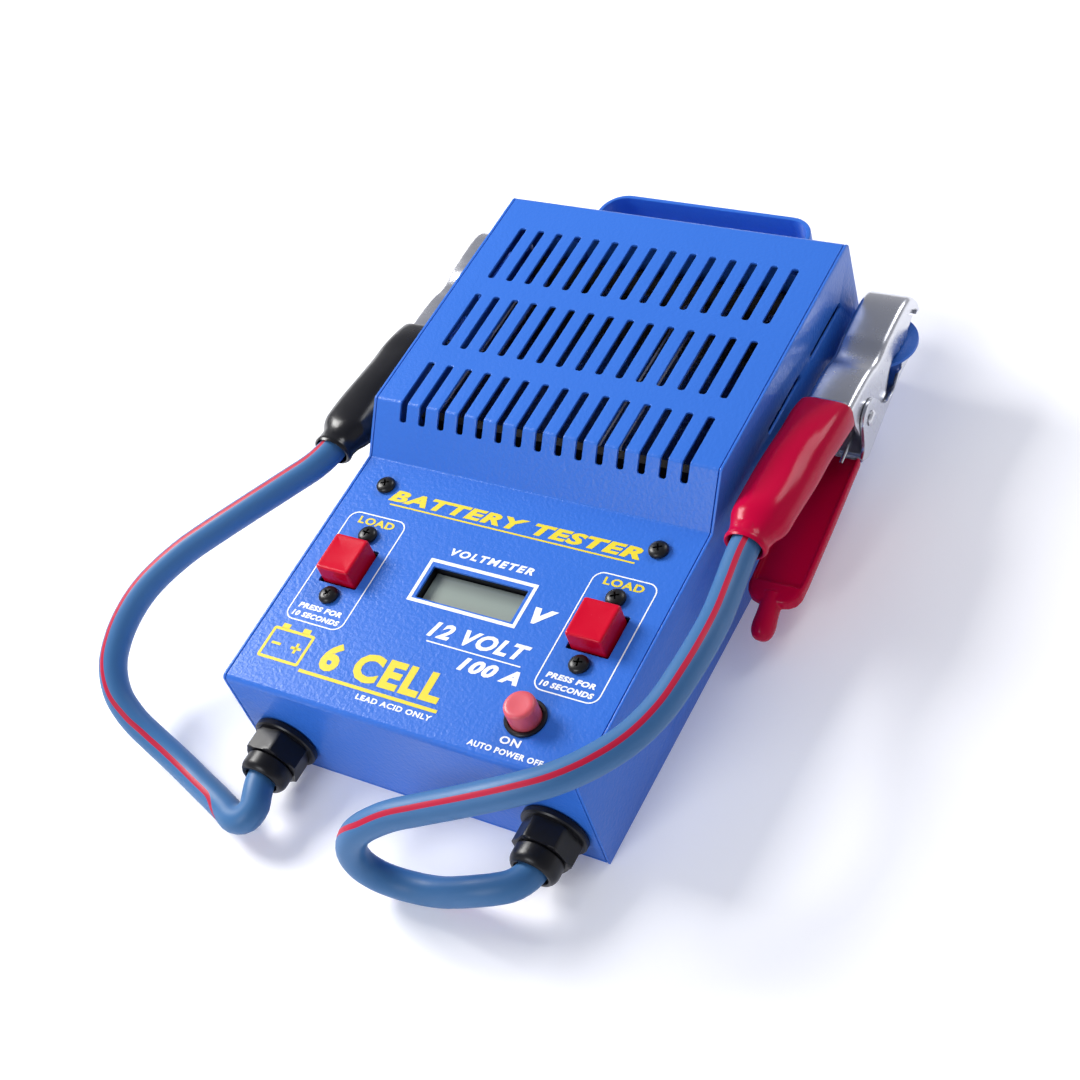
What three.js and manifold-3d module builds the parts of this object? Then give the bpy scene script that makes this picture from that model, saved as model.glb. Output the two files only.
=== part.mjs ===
// Workshop battery tester: sheet-metal case with a sloping panel, two load buttons,
// a digital voltmeter, and two clamp leads that park on ears at the sides.
// Millimetres, +X right, +Y to the rear, +Z up. The case is drawn with its front face
// at y = 0 and is then moved so that the middle of its footprint is the origin.
import * as THREE from "three";
import { mergeVertices } from "three/addons/utils/BufferGeometryUtils.js";
import Module from "manifold-3d";

const wasm = await Module();
wasm.setup();

// ---------- driving dimensions ----------
const gap = 0.3; // air between neighbouring pieces
const sheet = 1.2; // case sheet thickness
const caseWidth = 160;
const frontHeight = 51.3;
const stepFoot = [116, 55.05];
const stepTop = [132.4, 73.7];
const caseDepth = 258.9;
const rearHeight = 76;
const bendRadius = 1.9;
const sidePlateRadius = 2.4;
const panelTilt = Math.atan2(stepFoot[1] - frontHeight, stepFoot[0]);

const slotCount = 15;
const slotPitch = 9.274;
const slotWidth = 3.2;
const slotEnd = 1.1;
const topSlots = [
  [208.1, 239.9],
  [166.6, 198.1],
];
const stepSlot = { rear: 156.5, low: 67.6, front: 122, high: 80 };
const sideSlots = [
  [211.5, 243],
  [169, 200.6],
];
const sideSlotHeight = 56;

const buttonX = 57;
const buttonV = 62.2;
const buttonSize = [15.6, 17.6];
const buttonCutout = [18, 19.4];
const buttonTop = 8.5;
const buttonFoot = -5.5;
const switchScrewV = [77.9, 46.7];
const panelScrew = [63.1, 103.2];
const screwHole = 1.9;

const meterV = 64.45;
const meterWindow = [43.4, 15.3];
const meterDepth = -4.2;

const power = { x: 48.3, v: 20, radius: 6.25, top: 9.7, hole: 7.3, flange: 8.2 };

const handle = {
  low: 34.5,
  high: 56.5,
  reach: 289,
  half: 50.5,
  radius: 11,
  sheet: 2,
  footRadius: 1.5,
  toe: 12,
};

const gland = { x: 62, z: 17, flange: 13.7, hex: 12.6, turn: 0.2, thread: 8.9, bore: 6.3, dome: 9.9 };
const lugStart = 8.6;
const cableRadius = 5.9;
const cableSides = 8;
const cableSteps = 56;

const tab = { z: 37.5, thick: 1.8, y: 244, radius: 15.2, tongue: [232, 252], flange: 12 };

const bank = {
  inner: 8,
  front: 153,
  rear: 243,
  passes: 7,
  pitch: 9,
  sheet: 1,
  high: [28, 44],
  clear: 3,
  boardHalf: 73,
  boardTop: 50,
};

const clampX = 95.4;
const pivot = [202.4, 37.1];
const jawHalf = 10;
const armHalf = 8.2;
const earHalf = 11.6;
const jawSheet = 1.3;
const lug = { barrel: 5, tongueHalf: 6.5, tongueSpan: [23, 40], thick: 3 };
const busBar = { from: 27, top: 26.4, drop: 2.9, bend: 3, thickness: 2, half: 6 };
const rivet = { shank: 2.5, head: 4.3, half: 13.2 };
const spring = { radius: 5, wire: 0.9, half: 4.8, turns: 2.5, steps: 40 };
const sleeveWall = 1.4;
const sleeveSides = 20;
const sleeveSquareness = { outside: 0.36, inside: 0.24 };

const frontmost = -21;
const rearmost = handle.reach + handle.sheet / 2;
const originY = (frontmost + rearmost) / 2;

// ---------- finishes ----------
const finishes = {
  bluePowder: [0x2257c4, 0.45, 0.0],
  blackNylon: [0x15151a, 0.5, 0.0],
  redCap: [0xc4071b, 0.35, 0.0],
  pinkCap: [0xd85060, 0.35, 0.0],
  redDip: [0xa8081c, 0.22, 0.0],
  blackDip: [0x131316, 0.25, 0.0],
  zincSteel: [0xb9bcc0, 0.3, 1.0],
  blackScrew: [0x101013, 0.35, 0.6],
  copper: [0xb56a42, 0.35, 1.0],
  cableBlue: [0x3f6fa8, 0.4, 0.0],
  display: [0x8f9c94, 0.2, 0.0],
  boardGreen: [0x1f5a35, 0.6, 0.0],
  ceramic: [0xd8d2c4, 0.8, 0.0],
};

const part = new THREE.Group();
part.name = "battery_tester";
part.position.y = -originY;

// ---------- turning drawings into solids ----------
const X = new THREE.Vector3(1, 0, 0);
const Y = new THREE.Vector3(0, 1, 0);
const Z = new THREE.Vector3(0, 0, 1);
const minusY = new THREE.Vector3(0, -1, 0);
const alongX = new THREE.Matrix4().makeBasis(Y, Z, X);
const alongFront = new THREE.Matrix4().makeBasis(X, Z, minusY);

function onFront(x) {
  return alongFront.clone().setPosition(x, 0, gland.z);
}

function panelFrame() {
  const up = new THREE.Vector3(0, Math.cos(panelTilt), Math.sin(panelTilt));
  const out = new THREE.Vector3(0, -Math.sin(panelTilt), Math.cos(panelTilt));
  return new THREE.Matrix4().makeBasis(X, up, out).setPosition(0, 0, frontHeight);
}

const onPanel = panelFrame();

function solid(geometry, place = null) {
  const bare = geometry.index ? geometry.toNonIndexed() : geometry.clone();
  bare.deleteAttribute("normal");
  bare.deleteAttribute("uv");
  if (place) bare.applyMatrix4(place);
  const merged = mergeVertices(bare, 1e-4);
  return new wasm.Manifold(
    new wasm.Mesh({
      numProp: 3,
      vertProperties: new Float32Array(merged.attributes.position.array),
      triVerts: new Uint32Array(merged.index.array),
    }),
  );
}

function block(x, y, z, place = null) {
  const geometry = new THREE.BoxGeometry(x[1] - x[0], y[1] - y[0], z[1] - z[0]);
  geometry.translate((x[0] + x[1]) / 2, (y[0] + y[1]) / 2, (z[0] + z[1]) / 2);
  return solid(geometry, place);
}

function prism(shape, from, to, place = null, curveSegments = 4) {
  const geometry = new THREE.ExtrudeGeometry(shape, {
    depth: to - from,
    bevelEnabled: false,
    curveSegments,
  });
  geometry.translate(0, 0, from);
  return solid(geometry, place);
}

// Round piece about the local Z axis: profile is [radius, height] from the bottom up.
function turned(profile, place = null, sides = 16) {
  const points = profile.map(([r, h]) => new THREE.Vector2(r, h));
  const geometry = new THREE.LatheGeometry(points, sides);
  const upright = new THREE.Matrix4().makeRotationX(Math.PI / 2);
  geometry.applyMatrix4(upright);
  return solid(geometry, place);
}

function disc(radius, from, to, place = null, sides = 16) {
  return turned([[0, from], [radius, from], [radius, to], [0, to]], place, sides);
}

function moved(x, y, z, base = null) {
  const shift = new THREE.Matrix4().makeTranslation(x, y, z);
  return base ? base.clone().multiply(shift) : shift;
}

function outline(points) {
  return new THREE.Shape(points.map(([a, b]) => new THREE.Vector2(a, b)));
}

function polygon(radius, sides, turn = 0) {
  const points = [];
  for (let i = 0; i < sides; i += 1) {
    const angle = turn + (i * 2 * Math.PI) / sides;
    points.push([radius * Math.cos(angle), radius * Math.sin(angle)]);
  }
  return outline(points);
}

function roundedBox(width, height, radius) {
  const [a, b] = [width / 2, height / 2];
  const shape = new THREE.Shape();
  shape.moveTo(-a + radius, -b);
  shape.lineTo(a - radius, -b);
  shape.absarc(a - radius, -b + radius, radius, -Math.PI / 2, 0);
  shape.absarc(a - radius, b - radius, radius, 0, Math.PI / 2);
  shape.absarc(-a + radius, b - radius, radius, Math.PI / 2, Math.PI);
  shape.absarc(-a + radius, -b + radius, radius, Math.PI, 1.5 * Math.PI);
  return shape;
}

// Points of a line with its corners rounded.
function roundedLine(points, radius, steps) {
  const path = [new THREE.Vector2(...points[0])];
  for (let i = 1; i < points.length - 1; i += 1) {
    const corner = new THREE.Vector2(...points[i]);
    const back = new THREE.Vector2(...points[i - 1]).sub(corner).normalize();
    const on = new THREE.Vector2(...points[i + 1]).sub(corner).normalize();
    const bend = Array.isArray(radius) ? radius[i - 1] : radius;
    const half = Math.acos(THREE.MathUtils.clamp(back.dot(on), -1, 1)) / 2;
    const trim = bend / Math.tan(half);
    const centre = back.clone().add(on).normalize();
    centre.multiplyScalar(bend / Math.sin(half)).add(corner);
    const start = back.multiplyScalar(trim).add(corner).sub(centre);
    const end = on.multiplyScalar(trim).add(corner).sub(centre);
    const from = start.angle();
    let sweep = end.angle() - from;
    if (sweep > Math.PI) sweep -= 2 * Math.PI;
    if (sweep < -Math.PI) sweep += 2 * Math.PI;
    for (let k = 0; k <= steps; k += 1) {
      const angle = from + (sweep * k) / steps;
      const reach = new THREE.Vector2(Math.cos(angle), Math.sin(angle));
      path.push(reach.multiplyScalar(bend).add(centre));
    }
  }
  path.push(new THREE.Vector2(...points[points.length - 1]));
  return path;
}

// Outline of a bent sheet whose middle line is the rounded line through the points.
function bentSheet(points, radius, thickness, steps = 3) {
  const middle = roundedLine(points, radius, steps);
  const left = [];
  const right = [];
  middle.forEach((point, i) => {
    const before = middle[Math.max(i - 1, 0)];
    const after = middle[Math.min(i + 1, middle.length - 1)];
    const a = point.clone().sub(before).normalize();
    const b = after.clone().sub(point).normalize();
    const along = a.clone().add(b).normalize();
    const side = new THREE.Vector2(-along.y, along.x);
    const mitre = i === 0 || i === middle.length - 1 ? 1 : b.dot(along);
    side.multiplyScalar(thickness / 2 / mitre);
    left.push(point.clone().add(side));
    right.push(point.clone().sub(side));
  });
  return new THREE.Shape([...left, ...right.reverse()]);
}

// Closed skin through rings of equal point count, capped flat at both ends.
function loft(rings, place = null) {
  const count = rings[0].length;
  const positions = rings.flat(2);
  const index = [];
  for (let r = 0; r < rings.length - 1; r += 1) {
    for (let i = 0; i < count; i += 1) {
      const j = (i + 1) % count;
      const [a, b] = [r * count + i, r * count + j];
      index.push(a, b, b + count, a, b + count, a + count);
    }
  }
  const last = (rings.length - 1) * count;
  for (let i = 1; i < count - 1; i += 1) {
    index.push(0, i + 1, i, last, last + i, last + i + 1);
  }
  const geometry = new THREE.BufferGeometry();
  geometry.setAttribute("position", new THREE.Float32BufferAttribute(positions, 3));
  geometry.setIndex(index);
  return solid(geometry, place);
}

function mirrored(body, side) {
  return side > 0 ? body : body.mirror([1, 0, 0]);
}

function cut(body, cutters) {
  return cutters.reduce((left, cutter) => left.subtract(cutter), body);
}

function join(pieces) {
  return pieces.reduce((all, piece) => all.add(piece));
}

function addPiece(name, body, finish) {
  const made = body.getMesh();
  const geometry = new THREE.BufferGeometry();
  const stride = made.numProp;
  const positions = new Float32Array(made.numVert * 3);
  for (let i = 0; i < made.numVert; i += 1) {
    positions.set(made.vertProperties.subarray(i * stride, i * stride + 3), i * 3);
  }
  geometry.setAttribute("position", new THREE.BufferAttribute(positions, 3));
  geometry.setIndex(new THREE.BufferAttribute(new Uint32Array(made.triVerts), 1));
  geometry.computeVertexNormals();
  const [color, roughness, metalness] = finishes[finish];
  const material = new THREE.MeshStandardMaterial({ color, roughness, metalness });
  material.name = finish;
  const mesh = new THREE.Mesh(geometry, material);
  mesh.name = name;
  part.add(mesh);
}

const sides = [
  ["left", -1],
  ["right", 1],
];

// ---------- case ----------
function caseProfile(lift, inset) {
  return [
    [inset, lift],
    [inset, frontHeight - inset],
    [stepFoot[0] + inset, stepFoot[1] - inset],
    [stepTop[0] + inset / 2, stepTop[1] - inset],
    [caseDepth - inset, rearHeight - inset],
    [caseDepth - inset, lift],
  ];
}

function ventCutters() {
  const cutters = [];
  for (let i = 0; i < slotCount; i += 1) {
    const x = (i - (slotCount - 1) / 2) * slotPitch;
    for (const [from, to] of topSlots) {
      const shape = roundedBox(slotWidth, to - from, slotEnd);
      cutters.push(prism(shape, stepSlot.low, stepSlot.high, moved(x, (from + to) / 2, 0), 1));
    }
    const across = [x - slotWidth / 2, x + slotWidth / 2];
    const along = [stepSlot.front, stepSlot.rear];
    cutters.push(block(across, along, [stepSlot.low, stepSlot.high]));
  }
  return cutters;
}

function panelCutters() {
  const [w, h] = meterWindow;
  const through = [-4, 4];
  const cutters = [
    block([-w / 2, w / 2], [meterV - h / 2, meterV + h / 2], through, onPanel),
    disc(power.hole, ...through, moved(power.x, power.v, 0, onPanel)),
  ];
  const [bw, bh] = buttonCutout;
  for (const [, side] of sides) {
    const x = side * buttonX;
    const along = [buttonV - bh / 2, buttonV + bh / 2];
    cutters.push(block([x - bw / 2, x + bw / 2], along, through, onPanel));
    for (const v of switchScrewV) {
      cutters.push(disc(screwHole, ...through, moved(x, v, 0, onPanel), 8));
    }
    const [sx, sv] = panelScrew;
    cutters.push(disc(screwHole, ...through, moved(side * sx, sv, 0, onPanel), 8));
  }
  return cutters;
}

function wallCutters() {
  const cutters = [];
  for (const [, side] of sides) {
    cutters.push(disc(gland.thread + 0.5, -4, 4, onFront(side * gland.x)));
    const x = side * handle.half;
    const w = handle.sheet / 2 + gap;
    const high = [handle.low - gap, handle.high + gap];
    cutters.push(block([x - w, x + w], [caseDepth - 4, caseDepth + 4], high));
  }
  return cutters;
}

function coverShell() {
  const half = caseWidth / 2 - sheet - gap;
  const profile = bentSheet(caseProfile(sheet + gap, sheet / 2), bendRadius, sheet);
  const skin = prism(profile, -half, half, alongX);
  addPiece("cover_shell", cut(skin, [...ventCutters(), ...panelCutters(), ...wallCutters()]), "bluePowder");
}

function baseTray() {
  const half = caseWidth / 2;
  const edge = new THREE.Shape(roundedLine(caseProfile(0, 0), sidePlateRadius, 3));
  const plates = [
    prism(edge, -half, -half + sheet, alongX),
    prism(edge, half - sheet, half, alongX),
    block([-half, half], [0, caseDepth], [0, sheet]),
  ];
  const across = [-half - 1, half + 1];
  const cutters = sideSlots.map(([from, to]) => {
    const high = [sideSlotHeight - slotWidth / 2, sideSlotHeight + slotWidth / 2];
    return block(across, [from, to], high);
  });
  const tongue = [tab.tongue[0] - gap, tab.tongue[1] + gap];
  const high = [tab.z - tab.thick / 2 - gap, tab.z + tab.thick / 2 + gap];
  cutters.push(block(across, tongue, high));
  addPiece("base_tray", cut(join(plates), cutters), "bluePowder");
}

function rearHandle() {
  const foot = caseDepth - sheet - gap - handle.sheet / 2 - 0.2;
  const toe = handle.half + handle.toe;
  const line = [
    [toe, foot],
    [handle.half, foot],
    [handle.half, handle.reach],
    [-handle.half, handle.reach],
    [-handle.half, foot],
    [-toe, foot],
  ];
  const radii = [handle.footRadius, handle.radius, handle.radius, handle.footRadius];
  const strap = bentSheet(line, radii, handle.sheet, 5);
  addPiece("rear_handle", prism(strap, handle.low, handle.high), "bluePowder");
}

function clampTab(label, side) {
  const wall = caseWidth / 2;
  const ear = new THREE.Shape();
  ear.moveTo(wall + gap, tab.y - tab.radius);
  ear.lineTo(clampX, tab.y - tab.radius);
  ear.absarc(clampX, tab.y, tab.radius, -Math.PI / 2, Math.PI / 2);
  ear.lineTo(wall + gap, tab.y + tab.radius);
  const low = tab.z - tab.thick / 2;
  const high = tab.z + tab.thick / 2;
  const inside = wall - sheet - gap;
  const pieces = [
    prism(ear, low, high, null, 12),
    block([inside - tab.thick, wall + 1], tab.tongue, [low, high]),
    block([inside - tab.thick, inside], tab.tongue, [low - tab.flange, high]),
  ];
  addPiece("clamp_tab_" + label, mirrored(join(pieces), side), "bluePowder");
}

// ---------- panel screws and the posts they bite into ----------
function panHeadScrew(place) {
  const body = turned(
    [[0, -7], [1.5, -7], [1.5, gap], [4.1, gap], [4.1, 1.5], [3.3, 2.4], [1.7, 2.9], [0, 3]],
    place,
    12,
  );
  const recess = [
    block([-2.1, 2.1], [-0.45, 0.45], [1.6, 4], place),
    block([-0.45, 0.45], [-2.1, 2.1], [1.6, 4], place),
  ];
  return cut(body, recess);
}

function coverPost(label, side) {
  const [x, v] = panelScrew;
  const top = frontHeight + v * Math.sin(panelTilt) - sheet - 2 * gap;
  const y = v * Math.cos(panelTilt);
  const place = moved(side * x, y, 0);
  const post = prism(polygon(4.2, 6), sheet + gap, top, place);
  const bore = disc(screwHole, top - 9, top + 1, place, 12);
  addPiece("cover_post_" + label, post.subtract(bore), "zincSteel");
  const screw = panHeadScrew(moved(side * x, v, 0, onPanel));
  addPiece("panel_screw_" + label, screw, "blackScrew");
}

// ---------- load switches ----------
function capRings(width, height, low, high) {
  const edge = 0.9;
  return [
    [width, height, low],
    [width, height, high - edge],
    [width - edge, height - edge, high - edge / 3],
    [width - 2.4 * edge, height - 2.4 * edge, high],
  ].map(([w, h, n]) => {
    const points = roundedBox(w, h, 1.1).getPoints(2);
    return points.slice(0, -1).map((point) => [point.x, point.y, n]);
  });
}

function loadSwitch(label, side) {
  const place = moved(side * buttonX, buttonV, 0, onPanel);
  const [bw, bh] = buttonSize;
  const cap = loft(capRings(bw, bh, buttonFoot, buttonTop), place);
  addPiece("load_button_" + label, cap, "redCap");
  const top = -sheet - gap;
  const body = join([
    block([-11, 11], [-20.2, 20.2], [top - 2, top], place),
    block([-10.5, 10.5], [-12, 12], [-26, top - 1], place),
  ]);
  const well = block([-bw / 2 - 0.5, bw / 2 + 0.5], [-bh / 2 - 0.5, bh / 2 + 0.5], [-12, 1], place);
  const cutters = [well];
  for (const v of switchScrewV) {
    cutters.push(disc(screwHole, -9, 1, moved(0, v - buttonV, 0, place), 8));
    const screw = panHeadScrew(moved(0, v - buttonV, 0, place));
    addPiece("switch_screw_" + label + (v > buttonV ? "_upper" : "_lower"), screw, "blackScrew");
  }
  addPiece("load_switch_" + label, cut(body, cutters), "blackNylon");
}

// ---------- voltmeter ----------
function voltmeter() {
  const place = moved(0, meterV, 0, onPanel);
  const [w, h] = meterWindow;
  const rim = [w / 2 + 0.2, h / 2 + 0.2];
  const top = -sheet - gap;
  const frame = block([-26, 26], [-11.6, 11.6], [-9, top], place);
  const opening = block([-rim[0], rim[0]], [-rim[1], rim[1]], [-10, 0], place);
  addPiece("meter_frame", frame.subtract(opening), "blackNylon");
  const glass = [rim[0] - gap, rim[1] - gap];
  addPiece(
    "meter_display",
    block([-glass[0], glass[0]], [-glass[1], glass[1]], [-6, meterDepth], place),
    "display",
  );
  addPiece("meter_board", block([-31, 31], [-14.5, 14.5], [-10.9, -9.3], place), "boardGreen");
}

// ---------- power button ----------
function powerButton() {
  const place = moved(power.x, power.v, 0, onPanel);
  const r = power.radius;
  const cap = [[0, -5], [r, -5], [r, power.top - 1.2], [r - 0.5, power.top - 0.3], [0, power.top]];
  addPiece("power_button", turned(cap, place, 24), "pinkCap");
  const bush = join([
    disc(power.flange, gap, 1.4, place, 24),
    disc(power.hole - gap, -20, 0.4, place, 24),
  ]);
  addPiece("power_switch", bush.subtract(disc(r + gap, -8, 3, place, 24)), "blackNylon");
  const nut = prism(polygon(10, 6), -5, -sheet - gap, place);
  addPiece("power_switch_nut", nut.subtract(disc(power.hole + 0.05, -9, 1, place)), "zincSteel");
}

// ---------- cable glands ----------
function cableGland(label, side) {
  const place = onFront(side * gland.x);
  const body = join([
    disc(gland.flange, gap, 3.5, place, 24),
    prism(polygon(gland.hex, 6, gland.turn * side), 3.4, 13, place),
    disc(gland.thread, -10, 0.4, place),
    disc(7.5, 12.9, 17, place),
  ]);
  addPiece("gland_body_" + label, body.subtract(disc(gland.bore, -11, 18, place)), "blackNylon");
  const dome = [
    [7.8, 13.3], [gland.dome, 13.3], [gland.dome, 18.6], [9.3, 20.6],
    [8.4, 21], [7, 21], [6.8, 19.4], [7.8, 19.4], [7.8, 13.3],
  ];
  addPiece("gland_nut_" + label, turned(dome, place, 24), "blackNylon");
  const seal = [[gland.bore, 17.3], [7.5, 17.3], [7.5, 19.1], [gland.bore, 19.1], [gland.bore, 17.3]];
  addPiece("gland_seal_" + label, turned(seal, place), "blackNylon");
  const nut = prism(polygon(13.6, 6), -6.8, -sheet - gap, place);
  const locknut = nut.subtract(disc(gland.thread + 0.35, -9, 1, place));
  addPiece("gland_locknut_" + label, locknut, "blackNylon");
}

// ---------- inside wiring and load bank ----------
function cableLug(label, side) {
  const x = side * gland.x;
  const place = onFront(x);
  const { barrel, tongueHalf, tongueSpan, thick } = lug;
  const crimp = disc(barrel, -tongueSpan[0] - 1, -lugStart, place, 16);
  const across = [x - tongueHalf, x + tongueHalf];
  const tongue = block(across, tongueSpan, [gland.z - thick / 2, gland.z + thick / 2]);
  addPiece("cable_lug_" + label, crimp.add(tongue), "copper");
  const { drop, from, top, bend, thickness, half } = busBar;
  const line = [[from, gland.z - drop], [buttonV, gland.z - drop], [buttonV, top]];
  const bar = prism(bentSheet(line, bend, thickness), x - half, x + half, alongX);
  addPiece("bus_bar_" + label, bar, "copper");
}

function loadStrip(label, side) {
  const line = [[bank.inner, bank.front]];
  for (let i = 0; i < bank.passes; i += 1) {
    const x = bank.inner + i * bank.pitch;
    const rear = i % 2 === 0;
    line.push([x, rear ? bank.rear : bank.front], [x + bank.pitch, rear ? bank.rear : bank.front]);
  }
  line.push([bank.inner + bank.passes * bank.pitch, bank.passes % 2 ? bank.front : bank.rear]);
  const ribbon = bentSheet(line, bank.pitch / 2 - 0.2, bank.sheet, 3);
  addPiece("load_strip_" + label, mirrored(prism(ribbon, ...bank.high), side), "zincSteel");
}

function loadBoards() {
  const across = [-bank.boardHalf, bank.boardHalf];
  const high = [sheet + gap, bank.boardTop];
  const ends = [
    ["front", bank.front - bank.clear - 4],
    ["rear", bank.rear + bank.clear],
  ];
  for (const [label, y] of ends) {
    addPiece("load_board_" + label, block(across, [y, y + 4], high), "ceramic");
  }
}

// ---------- battery clamps ----------
function clampPrism(points, half, side) {
  const place = alongX.clone().setPosition(side * clampX, 0, 0);
  return prism(outline(points), -half, half, place);
}

function crossBore(radius, half, side) {
  const place = alongX.clone().setPosition(side * clampX, 0, 0);
  return disc(radius, -half, half, place.multiply(moved(pivot[0], pivot[1], 0)), 16);
}

function teeth(from, to, low, high, count) {
  const points = [];
  for (let i = 0; i < count; i += 1) {
    const at = (k) => from + ((to - from) * (i + k)) / count;
    points.push([at(0), high], [at(0.5), low]);
  }
  return points;
}

function upperJaw(label, side) {
  const shell = [
    [192.6, 53.7], [192.6, 43], [194.6, 34], [198.4, 30], [203, 29],
    [219.6, 30.4], [227.8, 39.4], [233.2, 41.8], ...teeth(236.3, 248.3, 39.2, 41, 4),
    [251, 42], [254.6, 46.6], [257, 44.4], [258.9, 43.2], [261.5, 43.7],
    [261, 48.4], [258.6, 51.8], [254.8, 53.7], [250, 54], [236, 53.3], [222, 52.4], [208, 53.3],
  ];
  const hollow = [
    [190, 52.4], [190, 20], [254, 20], [254, 47.5], [257.2, 47.3], [256.6, 50],
    [254, 52.2], [250, 52.6], [236, 51.9], [222, 51], [208, 51.9], [194, 52.4],
  ];
  const arm = [
    [128, 53.2], [186, 45.6], [193, 43.5], [198, 44], [198, 53.4], [193.5, 53.7],
    [186, 56.2], [175, 57.8], [147, 59.9], [128, 61.6],
  ];
  const armHollow = [
    [120, 40], [201, 36], [201, 52], [193, 52.4], [186, 54.9], [175, 56.5], [147, 58.6], [120, 60.9],
  ];
  const body = clampPrism(shell, jawHalf, side)
    .subtract(clampPrism(hollow, jawHalf - jawSheet, side))
    .add(clampPrism(arm, armHalf, side))
    .subtract(clampPrism(armHollow, armHalf - jawSheet, side))
    .subtract(crossBore(rivet.shank + gap, 14, side));
  addPiece("clamp_upper_jaw_" + label, body, "zincSteel");
}

function lowerJaw(label, side) {
  const shell = [
    [190, 23.6], [195, 20.8], [234, 30], [245, 30], [245, 33.6], [241.6, 36.2], [239.6, 34.4],
    [237.4, 35.8], [235, 33.6], [232.6, 34], [226, 30.4], [218, 31], [211, 38.6], [208.4, 43],
    [202.4, 45.2], [197.4, 43.4], [194.6, 38.6], [193.2, 30], [190, 26.4],
  ];
  const hollow = [
    [186, 25.2], [190, 25], [195.4, 22.3], [233.8, 31.4], [243.6, 31.4], [243.6, 60], [186, 60],
  ];
  const arm = [
    [130.3, 15.6], [189, 24.7], [192, 23.5], [192, 25.1], [189, 26], [130.3, 16.9],
  ];
  const body = clampPrism(shell, earHalf, side)
    .subtract(clampPrism(hollow, earHalf - jawSheet, side))
    .add(clampPrism(arm, armHalf, side))
    .subtract(crossBore(rivet.shank + gap, 14, side));
  addPiece("clamp_lower_jaw_" + label, body, "zincSteel");
}

function pivotRivet(label, side) {
  const { shank, head, half } = rivet;
  const inner = half - 1.3;
  const profile = [
    [0, -half], [head - 1.2, -half], [head, -half + 0.7], [head, -inner], [shank, -inner],
    [shank, inner], [head, inner], [head, half - 0.7], [head - 1.2, half], [0, half],
  ];
  const place = alongX.clone().setPosition(side * clampX, 0, 0);
  const body = turned(profile, place.multiply(moved(pivot[0], pivot[1], 0)), 16);
  addPiece("clamp_rivet_" + label, body, "zincSteel");
}

// Torsion spring: a leg under the upper arm, the coil round the rivet, a leg on the lower arm.
function torsionSpring(label, side) {
  const { radius, wire, half, turns, steps } = spring;
  const points = [new THREE.Vector3(-half, 184, 50.6)];
  const start = Math.PI * 0.5;
  const total = turns * 2 * Math.PI;
  const count = Math.round(turns * 8);
  for (let i = 0; i <= count; i += 1) {
    const angle = start - (total * i) / count;
    const x = -half + (2 * half * i) / count;
    points.push(
      new THREE.Vector3(x, pivot[0] + radius * Math.cos(angle), pivot[1] + radius * Math.sin(angle)),
    );
  }
  points.push(new THREE.Vector3(half, 184, 28));
  const section = polygon(wire, 5);
  const path = new THREE.CatmullRomCurve3(points, false, "centripetal");
  const coil = new THREE.ExtrudeGeometry(section, { steps, extrudePath: path });
  addPiece("clamp_spring_" + label, solid(coil, moved(side * clampX, 0, 0)), "zincSteel");
}

// Cross-section of a dipped sleeve: a squarish oval across the clamp.
function sleeveRings(sections, inset, squareness) {
  return sections.map(([y, half, low, high]) => {
    const ring = [];
    const rise = (high - low) / 2 - inset;
    for (let i = 0; i < sleeveSides; i += 1) {
      const angle = ((i + 0.5) * 2 * Math.PI) / sleeveSides;
      const [c, s] = [Math.cos(angle), Math.sin(angle)];
      const across = Math.sign(c) * Math.abs(c) ** squareness * (half - inset);
      const up = Math.sign(s) * Math.abs(s) ** squareness * rise;
      ring.push([across, (low + high) / 2 + up, -y]);
    }
    return ring;
  });
}

function sleevePlace(side) {
  return alongFront.clone().setPosition(side * clampX, 0, 0);
}

function upperSleeve(label, side) {
  const outer = [
    [190, 11.3, 42.8, 58.2], [186, 11.5, 43.2, 59.2], [176, 11.5, 44.4, 60.6],
    [147, 11.5, 48, 62.6], [128, 11.6, 50.4, 64.8], [120, 11.8, 51.2, 66],
    [118, 11.6, 50.7, 66], [113.5, 11, 50.8, 65.6], [111.5, 10.6, 51, 65.2],
  ];
  const inner = [
    [191, 11.3, 42.7, 58.1], [186, 11.5, 43.2, 59.2], [176, 11.5, 44.4, 60.6],
    [147, 11.5, 48, 62.6], [128, 11.6, 50, 65.4], [120, 11.8, 50.4, 66],
    [118, 11.4, 50.4, 66], [110.5, 10.4, 50.4, 65.4],
  ];
  const skin = loft(sleeveRings(outer, 0, sleeveSquareness.outside), sleevePlace(side));
  const hollow = loft(sleeveRings(inner, sleeveWall, sleeveSquareness.inside), sleevePlace(side));
  addPiece("clamp_upper_sleeve_" + label, skin.subtract(hollow), side > 0 ? "redDip" : "blackDip");
}

function lowerSleeve(label, side) {
  const outer = [
    [189, 11, 23, 27], [176, 11.3, 21, 25.6], [160, 11.5, 18.5, 23.6], [130, 11.5, 13.8, 19.4],
    [123, 11.3, 12.9, 19.2], [119.5, 9.6, 13.2, 18.8], [118, 6.5, 14, 18],
  ];
  const trough = [
    [192, 24.7], [189, 24.3], [130.3, 15.2], [125.5, 14.6], [125.5, 40], [192, 40],
  ];
  const nib = turned(
    [[0, -2], [4.3, -2], [4.6, 6], [4.8, 11], [4.2, 14], [2.6, 16.2], [0, 17]],
    nibFrame(side),
    16,
  );
  const body = loft(sleeveRings(outer, 0, sleeveSquareness.outside), sleevePlace(side))
    .subtract(clampPrism(trough, 9.8, side))
    .add(nib.subtract(clampPrism(trough, 9.8, side)));
  addPiece("clamp_lower_sleeve_" + label, body, side > 0 ? "redDip" : "blackDip");
}

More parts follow.
